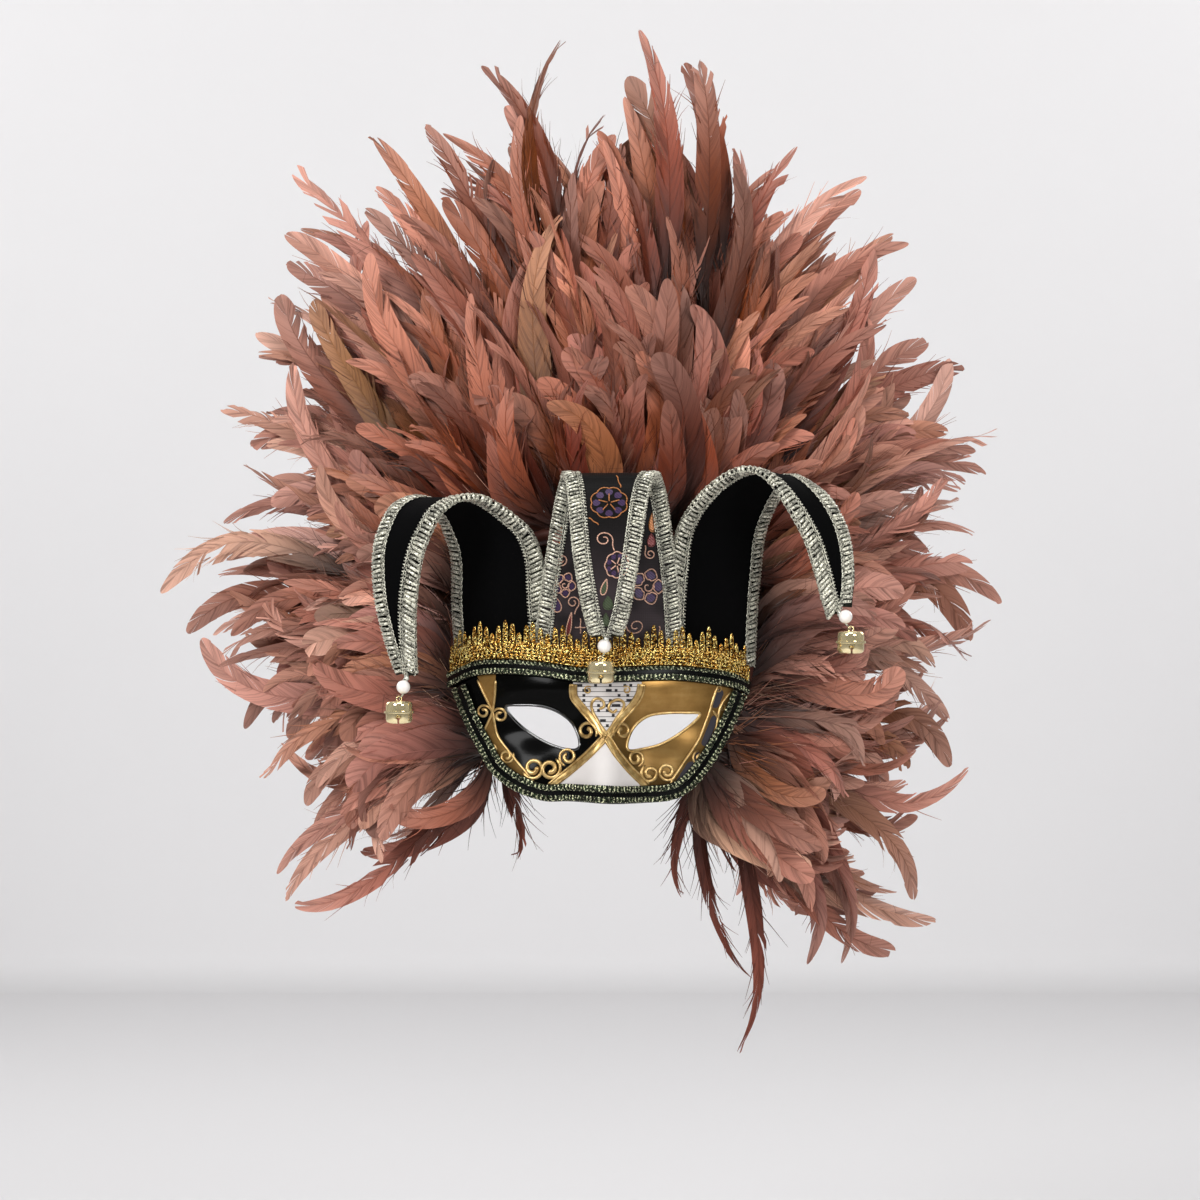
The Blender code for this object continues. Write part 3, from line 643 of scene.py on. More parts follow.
heaps = {name: Gathered() for name in ("back_left", "back_right", "middle_left", "middle_right", "front")}
for share, x, z, bend, width, back in OUTER_FEATHERS + DANGLING_FEATHERS:
    root = at(cord_line, share) + np.array([0, BACK_DEPTH, 0])
    heap = heaps["back_left" if share < 0.5 else "back_right"]
    narrow = width < NARROW_WIDTH
    sparse = any(start < share < end for start, end in SPARSE)
    for copy in range(1 if narrow else 4 if sparse else 3):
        run = run_to(root, x, z)
        if copy:
            run = turned(run, rng.normal(0, SCATTER)) * rng.uniform(0.80, 1.0)
        tip = root + run + np.array([0, (back + rng.normal(0, 8)) * MM, 0])
        down = np.sign(bend) if copy == 0 or rng.random() < 0.85 else -np.sign(bend)
        hook = down * (6 + abs(rng.normal(0, 11))) * MM
        bow = (bend if copy == 0 else down * (4 + abs(rng.normal(0, 13)))) * MM
        short = min(1.0, np.linalg.norm(run) / SHORT_RUN) ** 2
        line = feather_line(root, tip, short * bow, short * hook, rng.normal(0, 8) * MM)
        line = last_stretch(line, rng.uniform(*OUTER_LENGTHS) * MM)
        if narrow:
            add_feather(heap, line, rolls(0.3, 0.5), 0.45 * width * MM, OLD_RED, 0.1, 0.5, 0.0)
        else:
            blade = (width - 14) * rng.uniform(0.80, 1.08) * MM
            add_feather(heap, line, rolls(0.3, 0.7), blade, dye(tip[0], tip[2]), rng.uniform(0.2, 0.95),
                        rng.choice((0.1, 0.3, 0.6)))

rows = np.arange(len(outer))
for _ in range(FILL_FEATHERS):
    spot = rng.uniform(0, len(outer) - 1.6)
    layer = rng.uniform(0.0, 1.0) ** 0.85
    if layer > 0.6:
        spot = np.clip(round(spot) + rng.normal(0, 0.28), 0, len(outer) - 1.6)
    share, tip_x, tip_z, bend = (np.interp(spot, rows, outer[:, k]) for k in range(4))
    root = at(cord_line, np.clip(share + rng.normal(0, 0.012), 0, 1))
    run = turned(run_to(root, tip_x, tip_z), rng.normal(0, SCATTER)) * (0.24 + 0.60 * layer)
    run *= max(1.0, rng.uniform(70, 100) * MM / np.linalg.norm(run))
    root = root + np.array([0, BACK_DEPTH * layer, 0])
    tip = root + run + np.array([0, (2 + 58 * layer + rng.normal(0, 5)) * MM, 0])
    down = np.sign(bend) if rng.random() < 0.8 else -np.sign(bend)
    bow = down * (2 + min(abs(rng.normal(0, 10)), 15)) * MM
    hook = down * (3 + min(abs(rng.normal(0, 8)), 12)) * MM
    line = feather_line(root, tip, bow, hook, rng.normal(-3, 9) * MM)
    line = last_stretch(line, rng.uniform(*FILL_LENGTHS) * MM)
    row = "front" if layer < FRONT_LAYER else "middle" if layer < MIDDLE_LAYER else "back"
    name = row if row == "front" else row + ("_left" if share < 0.5 else "_right")
    add_feather(heaps[name], line, rolls(0.35, 0.7), rng.uniform(12, 25 - 6 * layer) * MM,
                dye(tip[0], tip[2]), rng.uniform(0.2, 0.95), rng.choice((0.05, 0.2, 0.5)), 0.6)

for _ in range(DOWN_TUFTS):
    spot = rng.uniform(0, len(outer) - 1.6)
    share, tip_x, tip_z = (np.interp(spot, rows, outer[:, k]) for k in range(3))
    root = at(cord_line, share) + np.array([rng.normal(0, 3), rng.uniform(4, 24), rng.normal(0, 3)]) * MM
    way = turned(run_to(root, tip_x, tip_z), rng.normal(0, 0.45))
    angle = rng.normal(math.atan2(way[0], way[2]), 0.35, DOWN_STRANDS)
    run = np.stack([np.sin(angle), rng.normal(0.10, 0.10, DOWN_STRANDS), np.cos(angle)], axis=1)[:, None]
    steps = np.linspace(0, 1, 5)[None, :, None]
    wander = rng.normal(0, 5, (DOWN_STRANDS, 1, 3)) * np.array([1, 0.3, 1]) * MM
    strand = root + run * rng.uniform(*DOWN_LENGTHS, (DOWN_STRANDS, 1, 1)) * MM * steps + wander * steps ** 2
    breadth = unit(np.cross(run, (0, 1, 0))) * (0.40 - 0.32 * steps) * MM
    colour = dye(tip_x * MM, tip_z * MM) * rng.uniform(0.34, 0.95, (DOWN_STRANDS, 1, 1, 1))
    # Darker towards the root: painted shade, as on the feathers.
    colour = colour * (0.6 + 0.5 * steps[..., None])
    heaps["front"].strips(np.stack([strand - breadth, strand + breadth], axis=2), colour)

for name, depth in (("front", 3), ("middle_left", 12), ("back_left", 24)):
    cord = smooth_line(CORD_ROUTE, 6) * MM + np.array([0, depth * MM, 0])
    heaps[name].tube(cord, np.tile((0.0, 1.0, 0.0), (len(cord), 1)), CORD_RADIUS, 12, (0.060, 0.018, 0.012))

for name, heap in heaps.items():
    node = "feathers_" + name.split("_")[0]
    add_piece(heap.make("feathers_" + name + "_vanes", vane.material), "feather", node)


# Mask shell: a half mask of 2 mm moulded resin with a nose and almond eye openings. Its left half is
# lacquered black and its right half gilded; the nose is white and a slip of printed music paper is pasted on
# the brow.
WALL = 2.0 * MM
FACE_HALF_WIDTH = 96 * MM
FACE_DEPTH = 70 * MM
NOSE_HEIGHT = 21 * MM
UPPER_EDGE = (
    # x, z
    (-88.5, 27.5), (-84, 30), (-73, 35), (-57, 36.5), (-33, 35), (-12, 32), (8, 32), (40, 33), (62, 31),
    (77, 28), (84, 25), (87, 22),
)
LOWER_EDGE = (
    # x, z
    (-88.5, 22.5), (-84.5, 12), (-78.5, -3), (-70, -19), (-62.5, -31), (-49, -40.5), (-33, -46), (-19, -46),
    (-7, -46), (4, -46.5), (15, -47), (26, -47), (40, -46), (50, -42), (59, -34), (70, -19), (80, 0),
    (84.5, 11), (87, 17),
)
LEFT_EYE = (
    (-55, 8), (-46, 9.6), (-34, 9), (-24, 5.5), (-16, -1), (-12, -10), (-13, -15.6), (-21, -15.8),
    (-33, -11.5), (-46, -3),
)
RIGHT_EYE = (
    (58.5, 3.8), (50, 5), (39, 5), (28, 3.2), (20, -2.8), (16, -11), (16.5, -16.3), (24, -16), (36, -13),
    (49, -5.5),
)
LEFT_BORDER = (
    (-15.4, 24), (-15.7, 19.5), (-15.4, 15), (-11.5, 9.5), (-5.4, 2.3), (0.2, -4.4), (3.5, -8.5), (-6, -18),
    (-16, -27), (-25.5, -34.5), (-36, -42),
)
RIGHT_BORDER = (
    (24.2, 24), (23.8, 19.5), (22.2, 14.4), (18.2, 8.7), (12.3, 2.2), (7.4, -4.2), (3.5, -8.5), (9, -17),
    (17, -27), (24.5, -34.5), (33, -43),
)
LEFT_STRAP_OUTER = (
    (-72, 26), (-66, 12), (-62.5, 5), (-65, -1), (-69.5, -8), (-72, -14), (-66, -26), (-60, -34),
)
LEFT_STRAP_INNER = ((-61, 26), (-61.5, 14), (-62, 6), (-60, -8), (-52, -19), (-40, -33), (-35, -42))
DARK_PATCHES = (
    # x, z, x, z, half width
    (70.0, 16, 67.6, 10, 2.5), (67.0, 1.0, 61.4, -12.6, 2.1), (57.0, -20.6, 56.2, -23.6, 2.4),
    (52.8, -26.4, 46.8, -35.4, 2.8),
)
FACE_SWELLS = (
    # depth, x on either side, z, half width, half height: sockets, brow and cheeks
    (5.5, 34, -3, 24, 13), (-2.2, 30, 19, 24, 8), (-4.0, 44, -33, 20, 16),
)
MASK_COLUMNS = 210
MASK_ROWS = 80
STAFF_PITCH = 2.9 * MM
NOTE_PITCH = 1.7 * MM
PAPER_FOOT = -8.5 * MM


def face_form(x, z):
    """Depth of a plain face form: an elliptic cheek line with sockets, a brow, cheeks and a nose."""
    side = np.minimum(np.abs(x) / FACE_HALF_WIDTH, 0.985)
    depth = FACE_DEPTH * (1 - np.sqrt(1 - side ** 2))
    for eye in (-1, 1):
        for swell, out, up, wide, tall in FACE_SWELLS:
            away = -((x - eye * out * MM) / (wide * MM)) ** 2 - ((z - up * MM) / (tall * MM)) ** 2
            depth = depth + swell * MM * np.exp(away)
    fall = np.clip((20 * MM - z) / (58 * MM), 0.0, 1.0)
    ridge = NOSE_HEIGHT * fall ** 1.25
    half = (9.0 + 7.0 * fall) * MM
    return depth - ridge * np.exp(-(np.abs(x - 2.5 * MM) / half) ** 2.2)


def on_mask(x, z, lift=0.0):
    """Points over the mask's outer face, lifted off it, and the ways it faces there."""
    step = 0.5 * MM
    slope_x = (face_form(x + step, z) - face_form(x - step, z)) / (2 * step)
    slope_z = (face_form(x, z + step) - face_form(x, z - step)) / (2 * step)
    facing = unit(np.stack([slope_x, -np.ones_like(x), slope_z], axis=-1))
    depth = face_form(x, z) - face_form(0.0, 0.0) - WALL
    return np.stack([x, depth, z], axis=-1) + facing * lift, facing


def edge_height(edge, x):
    """Height of a mask edge at x, with the edge taken as a smooth line."""
    line = smooth_line(edge, 8) * MM
    return np.interp(x, line[:, 0], line[:, 1])


def side_of(line, x, z):
    """How far each point lies to the right of a line that runs down the mask."""
    down = smooth_line(line, 6)[::-1] * MM
    return x - np.interp(z, down[:, 1], down[:, 0])


def cut_through(obj, cuts, front, depth):
    """Cuts openings through an object: outlines in x and z, run back from the front and turned about z."""
    cutters = bpy.data.collections.new("cutters")
    for outline, degrees in cuts:
        bm = bmesh.new()
        face = bm.faces.new([bm.verts.new((x, front, z)) for x, z in outline])
        push(bm, bmesh.ops.extrude_face_region(bm, geom=[face]), (0, depth, 0))
        turn = Matrix.Rotation(math.radians(degrees), 3, "Z")
        bmesh.ops.rotate(bm, cent=(0, 0, 0), matrix=turn, verts=bm.verts)
        cutter = new_object("cutter", bm, obj.data.materials[0])
        bpy.context.scene.collection.objects.unlink(cutter)
        cutters.objects.link(cutter)
    cut = obj.modifiers.new("openings", "BOOLEAN")
    cut.operand_type = "COLLECTION"
    cut.collection = cutters
    cut.operation = "DIFFERENCE"
    cut.solver = "EXACT"
    made = bpy.data.meshes.new_from_object(obj.evaluated_get(bpy.context.evaluated_depsgraph_get()))
    obj.modifiers.clear()
    obj.data = made
    for cutter in list(cutters.objects):
        bpy.data.objects.remove(cutter, do_unlink=True)
    bpy.data.collections.remove(cutters)


mask_finish = Finish("mask_lacquer_and_gilt", Specular_IOR_Level=0.045, Coat_Weight=0.015,
                     Coat_Roughness=0.08)
fields = mask_finish.attribute("fields")
straps = mask_finish.attribute("straps")
where = mask_finish.place()
across, inward, high = (mask_finish.part(where, axis) for axis in "XYZ")
in_gold = mask_finish.part(fields, "Y") > 0
in_white = (mask_finish.part(fields, "X") > 0) * (1 - in_gold)
in_strap = mask_finish.part(straps, "X") > 0
in_patch = mask_finish.part(straps, "Y") > 0
inside = mask_finish.part(fields, "Z")
smudge = mask_finish.noise(where, 70, 5.0, 0.6)
brushed = mask_finish.noise(mask_finish.join(across * 60, inward * 60, high * 340), 1, 3.0)
gold = mask_finish.ramp(smudge * 0.7 + brushed * 0.3, (0.25, (0.20, 0.106, 0.028)),
                        (0.55, (0.34, 0.192, 0.058)), (0.8, (0.46, 0.285, 0.10)))
lacquer = mask_finish.mix(smudge, (0.0012, 0.0012, 0.0011), (0.0026, 0.0026, 0.0024))
# Painted shade: the gilding is darkened towards the cheeks and left bright over the brow, as if lit from
# above.
gilt_painted_shading = mask_finish.span(high, -32 * MM, 24 * MM)
gold = mask_finish.mix(gilt_painted_shading, mask_finish.mix(0.72, gold, (0.02, 0.012, 0.004)), gold)
staff_row = high / STAFF_PITCH
row_place = staff_row.maths("FRACT", staff_row)
row_number = staff_row.maths("FLOOR", staff_row)
note_column = across / NOTE_PITCH
note_cell = mask_finish.join(note_column.maths("FLOOR", note_column), row_number, 0)
printed = mask_finish.node("ShaderNodeTexWhiteNoise", {"noise_dimensions": "2D"}, {"Vector": note_cell},
                           output="Value")
staff = row_place < 0.17
notes = (printed > 0.66) * (row_place < 0.60)
on_paper = high > PAPER_FOOT
ink = in_white * on_paper * staff.maths("MAXIMUM", staff * 0.75, notes)
white = mask_finish.mix(smudge, (0.56, 0.53, 0.51), (0.66, 0.625, 0.605))
white = mask_finish.mix(ink, white, (0.03, 0.028, 0.03))
colour = mask_finish.mix(in_white, mask_finish.mix(in_gold, lacquer, gold), white)
colour = mask_finish.mix(in_strap * (1 - in_gold), colour, gold)
colour = mask_finish.mix(in_patch, colour, (0.045, 0.042, 0.05))
colour = mask_finish.mix(inside > 0.96, colour, (0.55, 0.52, 0.47))
gilt = (in_gold.maths("MAXIMUM", in_gold, in_strap) * (1 - in_white) * (1 - in_patch)) * (inside < 0.96)
mask_finish.feed(Base_Color=colour, Metallic=gilt * 0.7,
                 Roughness=0.16 + gilt * (0.12 + 0.14 * smudge) + in_white * 0.25)
mask_finish.relief(brushed, 0.12 * MM, 0.35)

left_end = (UPPER_EDGE[0][0] + 0.3) * MM
right_end = (UPPER_EDGE[-1][0] - 0.3) * MM
bm = bmesh.new()
bmesh.ops.create_grid(bm, x_segments=MASK_COLUMNS, y_segments=MASK_ROWS, size=0.5)
spots = np.array([vert.co[:] for vert in bm.verts])
grid_x = left_end + (right_end - left_end) * (spots[:, 0] + 0.5)
foot, top = edge_height(LOWER_EDGE, grid_x), edge_height(UPPER_EDGE, grid_x)
grid_z = foot + (top - foot) * (spots[:, 1] + 0.5)
shell_points, _ = on_mask(grid_x, grid_z)
for vert, point in zip(bm.verts, shell_points):
    vert.co = point
mask_shell = new_object("painted_mask", bm, mask_finish.material)
wall = mask_shell.modifiers.new("wall", "SOLIDIFY")
wall.thickness = WALL
wall.offset = -1.0
wall.use_even_offset = True
eyes = [(smooth_line(outline, 8, closed=True) * MM, 0) for outline in (LEFT_EYE, RIGHT_EYE)]
cut_through(mask_shell, eyes, -40 * MM, 110 * MM)

mesh = mask_shell.data
spots = np.empty(len(mesh.vertices) * 3, np.float32)
mesh.vertices.foreach_get("co", spots)
spots = spots.reshape(-1, 3).astype(float)
x, z = spots[:, 0], spots[:, 2]
surface, facing = on_mask(x, z)
behind = (np.abs(((surface - spots) * facing).sum(axis=1)) > 0.5 * WALL).astype(float)
fields_data = np.stack([side_of(LEFT_BORDER, x, z), side_of(RIGHT_BORDER, x, z), behind], axis=1)
strap = np.minimum(side_of(LEFT_STRAP_OUTER, x, z), -side_of(LEFT_STRAP_INNER, x, z))
patch = np.full(len(x), -1.0)
for x0, z0, x1, z1, half in DARK_PATCHES:
    a, b = np.array([x0, z0]) * MM, np.array([x1, z1]) * MM
    flat = np.stack([x, z], axis=1) - a
    share = np.clip((flat @ (b - a)) / ((b - a) @ (b - a)), 0, 1)
    patch = np.maximum(patch, half * MM - np.linalg.norm(flat - share[:, None] * (b - a), axis=1))
straps_data = np.stack([strap, patch, np.zeros(len(x))], axis=1)
carry(mesh, "fields", fields_data)
carry(mesh, "straps", straps_data)
mesh.set_sharp_from_angle(angle=math.radians(50))
add_piece(mask_shell, "mask_paint", "mask_shell")


# Scrollwork: cast lines and curls glued on the mask and gilded, double ones along the borders of the painted
# fields, with a rim round each eye that takes the colour of its half.
BORDERS = (
    ((-15.4, 22), (-15.7, 18), (-14.9, 14), (-11.3, 9.3), (-5.4, 2.3), (0.2, -4.4), (3.0, -8.3)),
    ((24, 22), (23.6, 18.5), (22, 14.2), (18.2, 8.7), (12.3, 2.2), (7.4, -4.2), (4.0, -8.3)),
    ((3.2, -8.3), (-6, -18), (-16, -27), (-25.5, -34.5), (-29, -37.5)),
    ((3.8, -8.3), (9, -17), (17, -27), (24.5, -34.5), (27, -37.5)),
)
RIDGES = (
    ((-72, 24), (-66, 12), (-62.5, 4), (-60, -8), (-52, -19), (-40, -33), (-37, -38)),
    ((-61, 24), (-61.5, 14), (-63, 5), (-66, -2), (-69.5, -9)),
    ((69, 21), (66, 12), (63, 2), (57, -12), (48, -25), (42, -34), (41, -38)),
    ((77, 17), (71, 9), (69, 1), (67, -9), (62, -16)),
    ((66, 6), (70, 0), (72, -6)),
    ((3.6, -7.8), (-1, 0.5), (-4.5, 6.8), (-4.6, 11.5), (-1.6, 13.7), (1.8, 12), (2.2, 9), (-0.4, 7.6)),
    ((3.6, -7.8), (9, 1.5), (13.1, 7.3), (13.8, 11), (10.6, 13), (6.4, 11.4), (5, 7.8), (7.6, 5.6),
     (9.8, 7.4)),
)
CURLS = (
    # x, z, radius, start degrees, turns
    (-38.8, -27, 5.8, 200, 1.5), (-29, -27.2, 5.8, 60, -1.5), (-18.5, -20.3, 4.9, 250, -1.4),
    (-7.4, -5.4, 5.2, 330, 1.3), (-68.2, 5.2, 3.8, 20, 1.3), (-58.4, 3.3, 4.0, 160, -1.3),
    (-54.4, -20.4, 3.9, 30, -1.4), (-63.2, -16, 3.0, 200, 1.2),
    (-7, 18.5, 2.2, 40, 1.2), (15.4, 18.6, 2.2, 140, -1.2),
    (12.8, -5.4, 4.8, 210, -1.3), (20.5, -21.3, 4.4, 290, 1.4), (29, -30, 4.9, 120, 1.5),
    (39, -29, 4.9, 340, -1.5), (58.2, -21.8, 4.0, 100, 1.3), (69.5, 19, 2.0, 200, 1.2),
    (72, 8, 1.8, 200, 1.2),
)
DOUBLE_GAP = 1.7 * MM
CAST_LIFT = 0.1 * MM
gilding = Finish("cast_gilding", Metallic=0.85, Coat_Weight=0.35, Coat_Roughness=0.2)
gilding_wear = gilding.noise(gilding.place(), 260, 4.0, 0.6)
gilt_colour = gilding.ramp(gilding_wear, (0.25, (0.27, 0.155, 0.045)), (0.5, (0.48, 0.315, 0.115)),
                           (0.75, (0.66, 0.49, 0.22)))
gilding.feed(Base_Color=gilt_colour, Roughness=0.24 + 0.22 * gilding_wear)
gilding.relief(gilding_wear, 0.15 * MM, 0.5)
enamel = Finish("black_enamel", Base_Color=(0.003, 0.003, 0.003, 1), Roughness=0.16, Specular_IOR_Level=0.9,
                Coat_Weight=0.8, Coat_Roughness=0.08)
scrolls = Gathered()


def polar(away, angle):
    """Flat points at distances and angles from the middle."""
    return np.stack([away * np.cos(angle), away * np.sin(angle)], axis=1)


def cast_line(heap, points, breadth, height, offset=0.0):
    """Adds a raised line on the mask, along a smooth line through x, z points and to one side of it."""
    line = smooth_line(points, 7) * MM
    run = unit(np.gradient(line, axis=0))
    line = line + offset * np.stack([-run[:, 1], run[:, 0]], axis=1)
    points, facing = on_mask(line[:, 0], line[:, 1], CAST_LIFT)
    taper = np.ones(len(line))
    taper[0] = taper[-1] = 0.35
    taper[1] = taper[-2] = 0.8
    heap.tube(points, facing, breadth * taper, 8, flat=height / breadth)


for points in BORDERS:
    for offset in (-DOUBLE_GAP, DOUBLE_GAP):
        cast_line(scrolls, points, 0.75 * MM, 1.05 * MM, offset)
    cast_line(scrolls, points, 1.9 * MM, 0.30 * MM)
for points in RIDGES:
    cast_line(scrolls, points, 0.85 * MM, 0.9 * MM)
for x, z, radius, start, turns in CURLS:
    share = np.linspace(0, 1, 34)
    angle = np.radians(start + 360 * turns * share)
    spiral = (polar(1.12 * radius * (1 - 0.72 * share), angle) + (x, z)) * MM
    points, facing = on_mask(spiral[:, 0], spiral[:, 1], CAST_LIFT)
    thick = radius / 4.6 * (0.80 + 0.50 * share) * MM
    thick[0] *= 0.5
    thick[-1] *= 0.6
    scrolls.tube(points, facing, thick, 8, flat=0.95)
add_piece(scrolls.make("gilded_scrollwork", gilding.material), "gilding", "mask_shell")
for name, outline, material, slot in (("left_eye_rim", LEFT_EYE, enamel.material, "mask_paint"),
                                      ("right_eye_rim", RIGHT_EYE, gilding.material, "gilding")):
    rim = Gathered()
    line = smooth_line(outline, 10, closed=True) * MM
    line = np.vstack([line, line[:2]])
    points, facing = on_mask(line[:, 0], line[:, 1], CAST_LIFT)
    rim.tube(points, facing, 0.9 * MM, 10)
    add_piece(rim.make(name, material), slot, "mask_shell")


# Dark braids: two rows of looped metallic cord on a black tape, glued under the brow edge of the mask and
# along its lower edge.
BRAID_WIDTH = 10.6 * MM
BRAID_LIFT = 1.0 * MM
BRAID_ROW = 2.95 * MM
BROW_RISE = 1.2 * MM
LOOP_PITCH = 2.6 * MM
LOOP_LENGTH = 1.05 * MM
LOOP_HALF_WIDTH = 1.45 * MM
LOOP_LIFT = 1.2 * MM
THREAD = 0.40 * MM
PALE_GREEN = (0.90, 0.92, 0.61)
DARK_GREEN = (0.05, 0.08, 0.035)
BLACK_TAPE = (0.004, 0.005, 0.004)
braid_finish = Finish("metallic_braid", Metallic=0.75)
sparkle = braid_finish.noise(braid_finish.place(), 1000, 1.0, 0.6)
braid_tint = braid_finish.attribute("tint", "Color")
braid_dark = braid_finish.mix(0.96, braid_tint, (0, 0, 0))
braid_colour = braid_finish.mix(braid_finish.span(sparkle, 0.50, 0.59), braid_dark, braid_tint)
braid_finish.feed(Base_Color=braid_colour, Roughness=0.18 + 0.3 * sparkle)


class Band:
    """A strip on a surface: places along and across it, and the way it faces there."""

    def __init__(self, place, start, end):
        self.place = place
        self.shares = np.linspace(start, end, 500)
        points, _ = place(self.shares, np.zeros(len(self.shares)))
        self.run = distances(points)
        self.length = self.run[-1]

    def at(self, along, across, lift=0.0):
        """Points at lengths along and across the strip, lifted off it, and the ways it faces."""
        points, facing = self.place(np.interp(along, self.run, self.shares), across)
        return points + facing * np.asarray(lift)[..., None], facing


def looped_thread(heap, band, across, pitch, loop, swing, phase, radius, tint, lift, sides=4, steps=10):
    """Adds a thread that goes along a band in loops."""
    count = int(band.length / pitch)
    along = np.linspace(0, count * pitch, count * steps + 1)
    turn = 2 * np.pi * along / pitch + phase
    place = np.clip(along - loop * np.sin(turn), 0, band.length)
    points, facing = band.at(place, across + swing * np.cos(turn), lift + 0.5 * radius * np.sin(turn * 0.5))
    heap.tube(points, facing, radius, sides, tint)


def brow_place(share, across):
    """Places under the upper edge of the mask, from left to right."""
    x = (UPPER_EDGE[0][0] + (UPPER_EDGE[-1][0] - UPPER_EDGE[0][0]) * share) * MM
    return on_mask(x, edge_height(UPPER_EDGE, x) + BROW_RISE - 0.5 * BRAID_WIDTH + across, BRAID_LIFT)


lower_line = smooth_line(LOWER_EDGE, 12) * MM
lower_run = unit(np.gradient(lower_line, axis=0))
lower_in = np.stack([-lower_run[:, 1], lower_run[:, 0]], axis=1)


def lower_place(share, across):
    """Places along the lower edge of the mask, from left to right."""
    spot = share * (len(lower_line) - 1)
    count = np.arange(len(lower_line))
    x, z, in_x, in_z = (np.interp(spot, count, a) for a in (
        lower_line[:, 0], lower_line[:, 1], lower_in[:, 0], lower_in[:, 1]))
    inward = 0.5 * BRAID_WIDTH + across
    return on_mask(x + in_x * inward, z + in_z * inward, BRAID_LIFT)


for name, place, start, end in (("brow", brow_place, 0.0, 1.0), ("lower", lower_place, 0.03, 0.97)):
    band = Band(place, start, end)
    heap = Gathered()
    line, facing = band.at(np.linspace(0, band.length, 160), 0.0, 0.3 * MM)
    heap.tube(line, facing, 0.48 * BRAID_WIDTH, 10, BLACK_TAPE, flat=0.16)
    for side in (-1, 1):
        for phase, tint in ((0.0, PALE_GREEN), (math.pi, DARK_GREEN)):
            looped_thread(heap, band, side * BRAID_ROW, LOOP_PITCH, LOOP_LENGTH, LOOP_HALF_WIDTH, phase,
                          THREAD, tint, LOOP_LIFT)
    add_piece(heap.make(name + "_braid_cords", braid_finish.material), "dark_braid", name + "_braid")


# Gold lace: a band of crochet in gold thread, five looped rows on a tape with tall narrow points above them,
# sewn behind the brow braid so that it stands over the mask's upper edge.
LACE_LEFT = -88.5 * MM
LACE_RIGHT = 88.5 * MM
LACE_FOOT = 1.0 * MM
LACE_STAND_OFF = 4.2 * MM
POINT_PITCH = 4.45 * MM
POINT_HEIGHTS = (14.0, 18.4, 21.5, 17.8)
POINT_FOOT = 7.5
POINT_TURNS = 4.5
TAPE_SIZE = (5, 140)
# The tape's dark colour is its own, deepened as painted shade that shows through the gaps of the lace.
LACE_TAPE_SHADED_TINT = (0.10, 0.075, 0.04)
LACE_ROWS = (
    # height over the foot, phase, pitch
    (0.8, 0.0, 2.9), (2.7, 1.5, 3.3), (4.6, 3.1, 2.9), (6.4, 4.4, 3.4), (8.0, 0.8, 3.0),
)
gold_thread = Finish("gold_thread", Metallic=0.75)
glint = gold_thread.noise(gold_thread.place(), 850, 1.0, 0.6)
thread_gold = gold_thread.ramp(glint, (0.39, (0.022, 0.008, 0.001)), (0.50, (0.56, 0.26, 0.010)),
                               (0.57, (1.0, 0.86, 0.34)))
rusty = gold_thread.span(gold_thread.noise(gold_thread.place(), 160), 0.45, 0.62)
thread_gold = gold_thread.mix(rusty * 0.4, thread_gold, (1.0, 0.62, 0.22), "MULTIPLY")
thread_gold = gold_thread.mix(1.0, thread_gold, gold_thread.attribute("tint", "Color"), "MULTIPLY")
gold_thread.feed(Base_Color=thread_gold, Roughness=0.12 + 0.22 * glint)


def lace_place(share, across):
    """Places on the lace, across being the height over its foot."""
    x = LACE_LEFT + (LACE_RIGHT - LACE_LEFT) * share
    foot = edge_height(UPPER_EDGE, x) + LACE_FOOT
    points, facing = on_mask(x, foot)
    facing = facing * np.array([1, 1, 0])
    points = points + np.stack([np.zeros_like(x), np.full_like(x, -LACE_STAND_OFF), across], axis=-1)
    return points, unit(facing)


band = Band(lace_place, 0, 1)
heap = Gathered()
rows, columns = TAPE_SIZE
along, up = np.meshgrid(np.linspace(0, band.length, columns), np.linspace(-1.5 * MM, 9.5 * MM, rows))
for side, way in ((-1.3 * MM, -1), (-0.9 * MM, 1)):
    tape, _ = band.at(along.ravel(), up.ravel(), side)
    heap.grid(tape.reshape(rows, columns, 3)[::way], LACE_TAPE_SHADED_TINT)
for height, phase, pitch in LACE_ROWS:
    for side in (-1, 1):
        looped_thread(heap, band, height * MM, pitch * MM, 1.1 * MM, 1.35 * MM, phase + 2 * side, 0.40 * MM,
                      (1, 1, 1), side * 0.45 * MM, steps=8)
for number in range(int(band.length / POINT_PITCH)):
    middle = (number + 0.5) * POINT_PITCH + rng.normal(0, 0.2) * MM
    top = (POINT_HEIGHTS[number % len(POINT_HEIGHTS)] + rng.normal(0, 0.5)) * MM
    share = np.linspace(0, 1, 44)
    climb = POINT_FOOT * MM + (top - (POINT_FOOT + 0.4) * MM) * share
    turn = 2 * np.pi * POINT_TURNS * share
    sway = np.sin(turn) * 1.2 * MM * (1 - 0.25 * share ** 3)
    points, facing = band.at(middle + sway, climb, 0.45 * MM * np.cos(turn))
    heap.tube(points, facing, 0.50 * MM, 4)
    share = np.linspace(0, 1, 20)
    arch = POINT_FOOT * MM + (top - (POINT_FOOT - 0.4) * MM) * np.sin(math.pi * share) ** 0.6
    points, facing = band.at(middle + 1.45 * MM * np.cos(math.pi * share), arch)
    heap.tube(points, facing, 0.46 * MM, 4)
add_piece(heap.make("gold_crochet_lace", gold_thread.material), "gold_lace", "gold_lace")


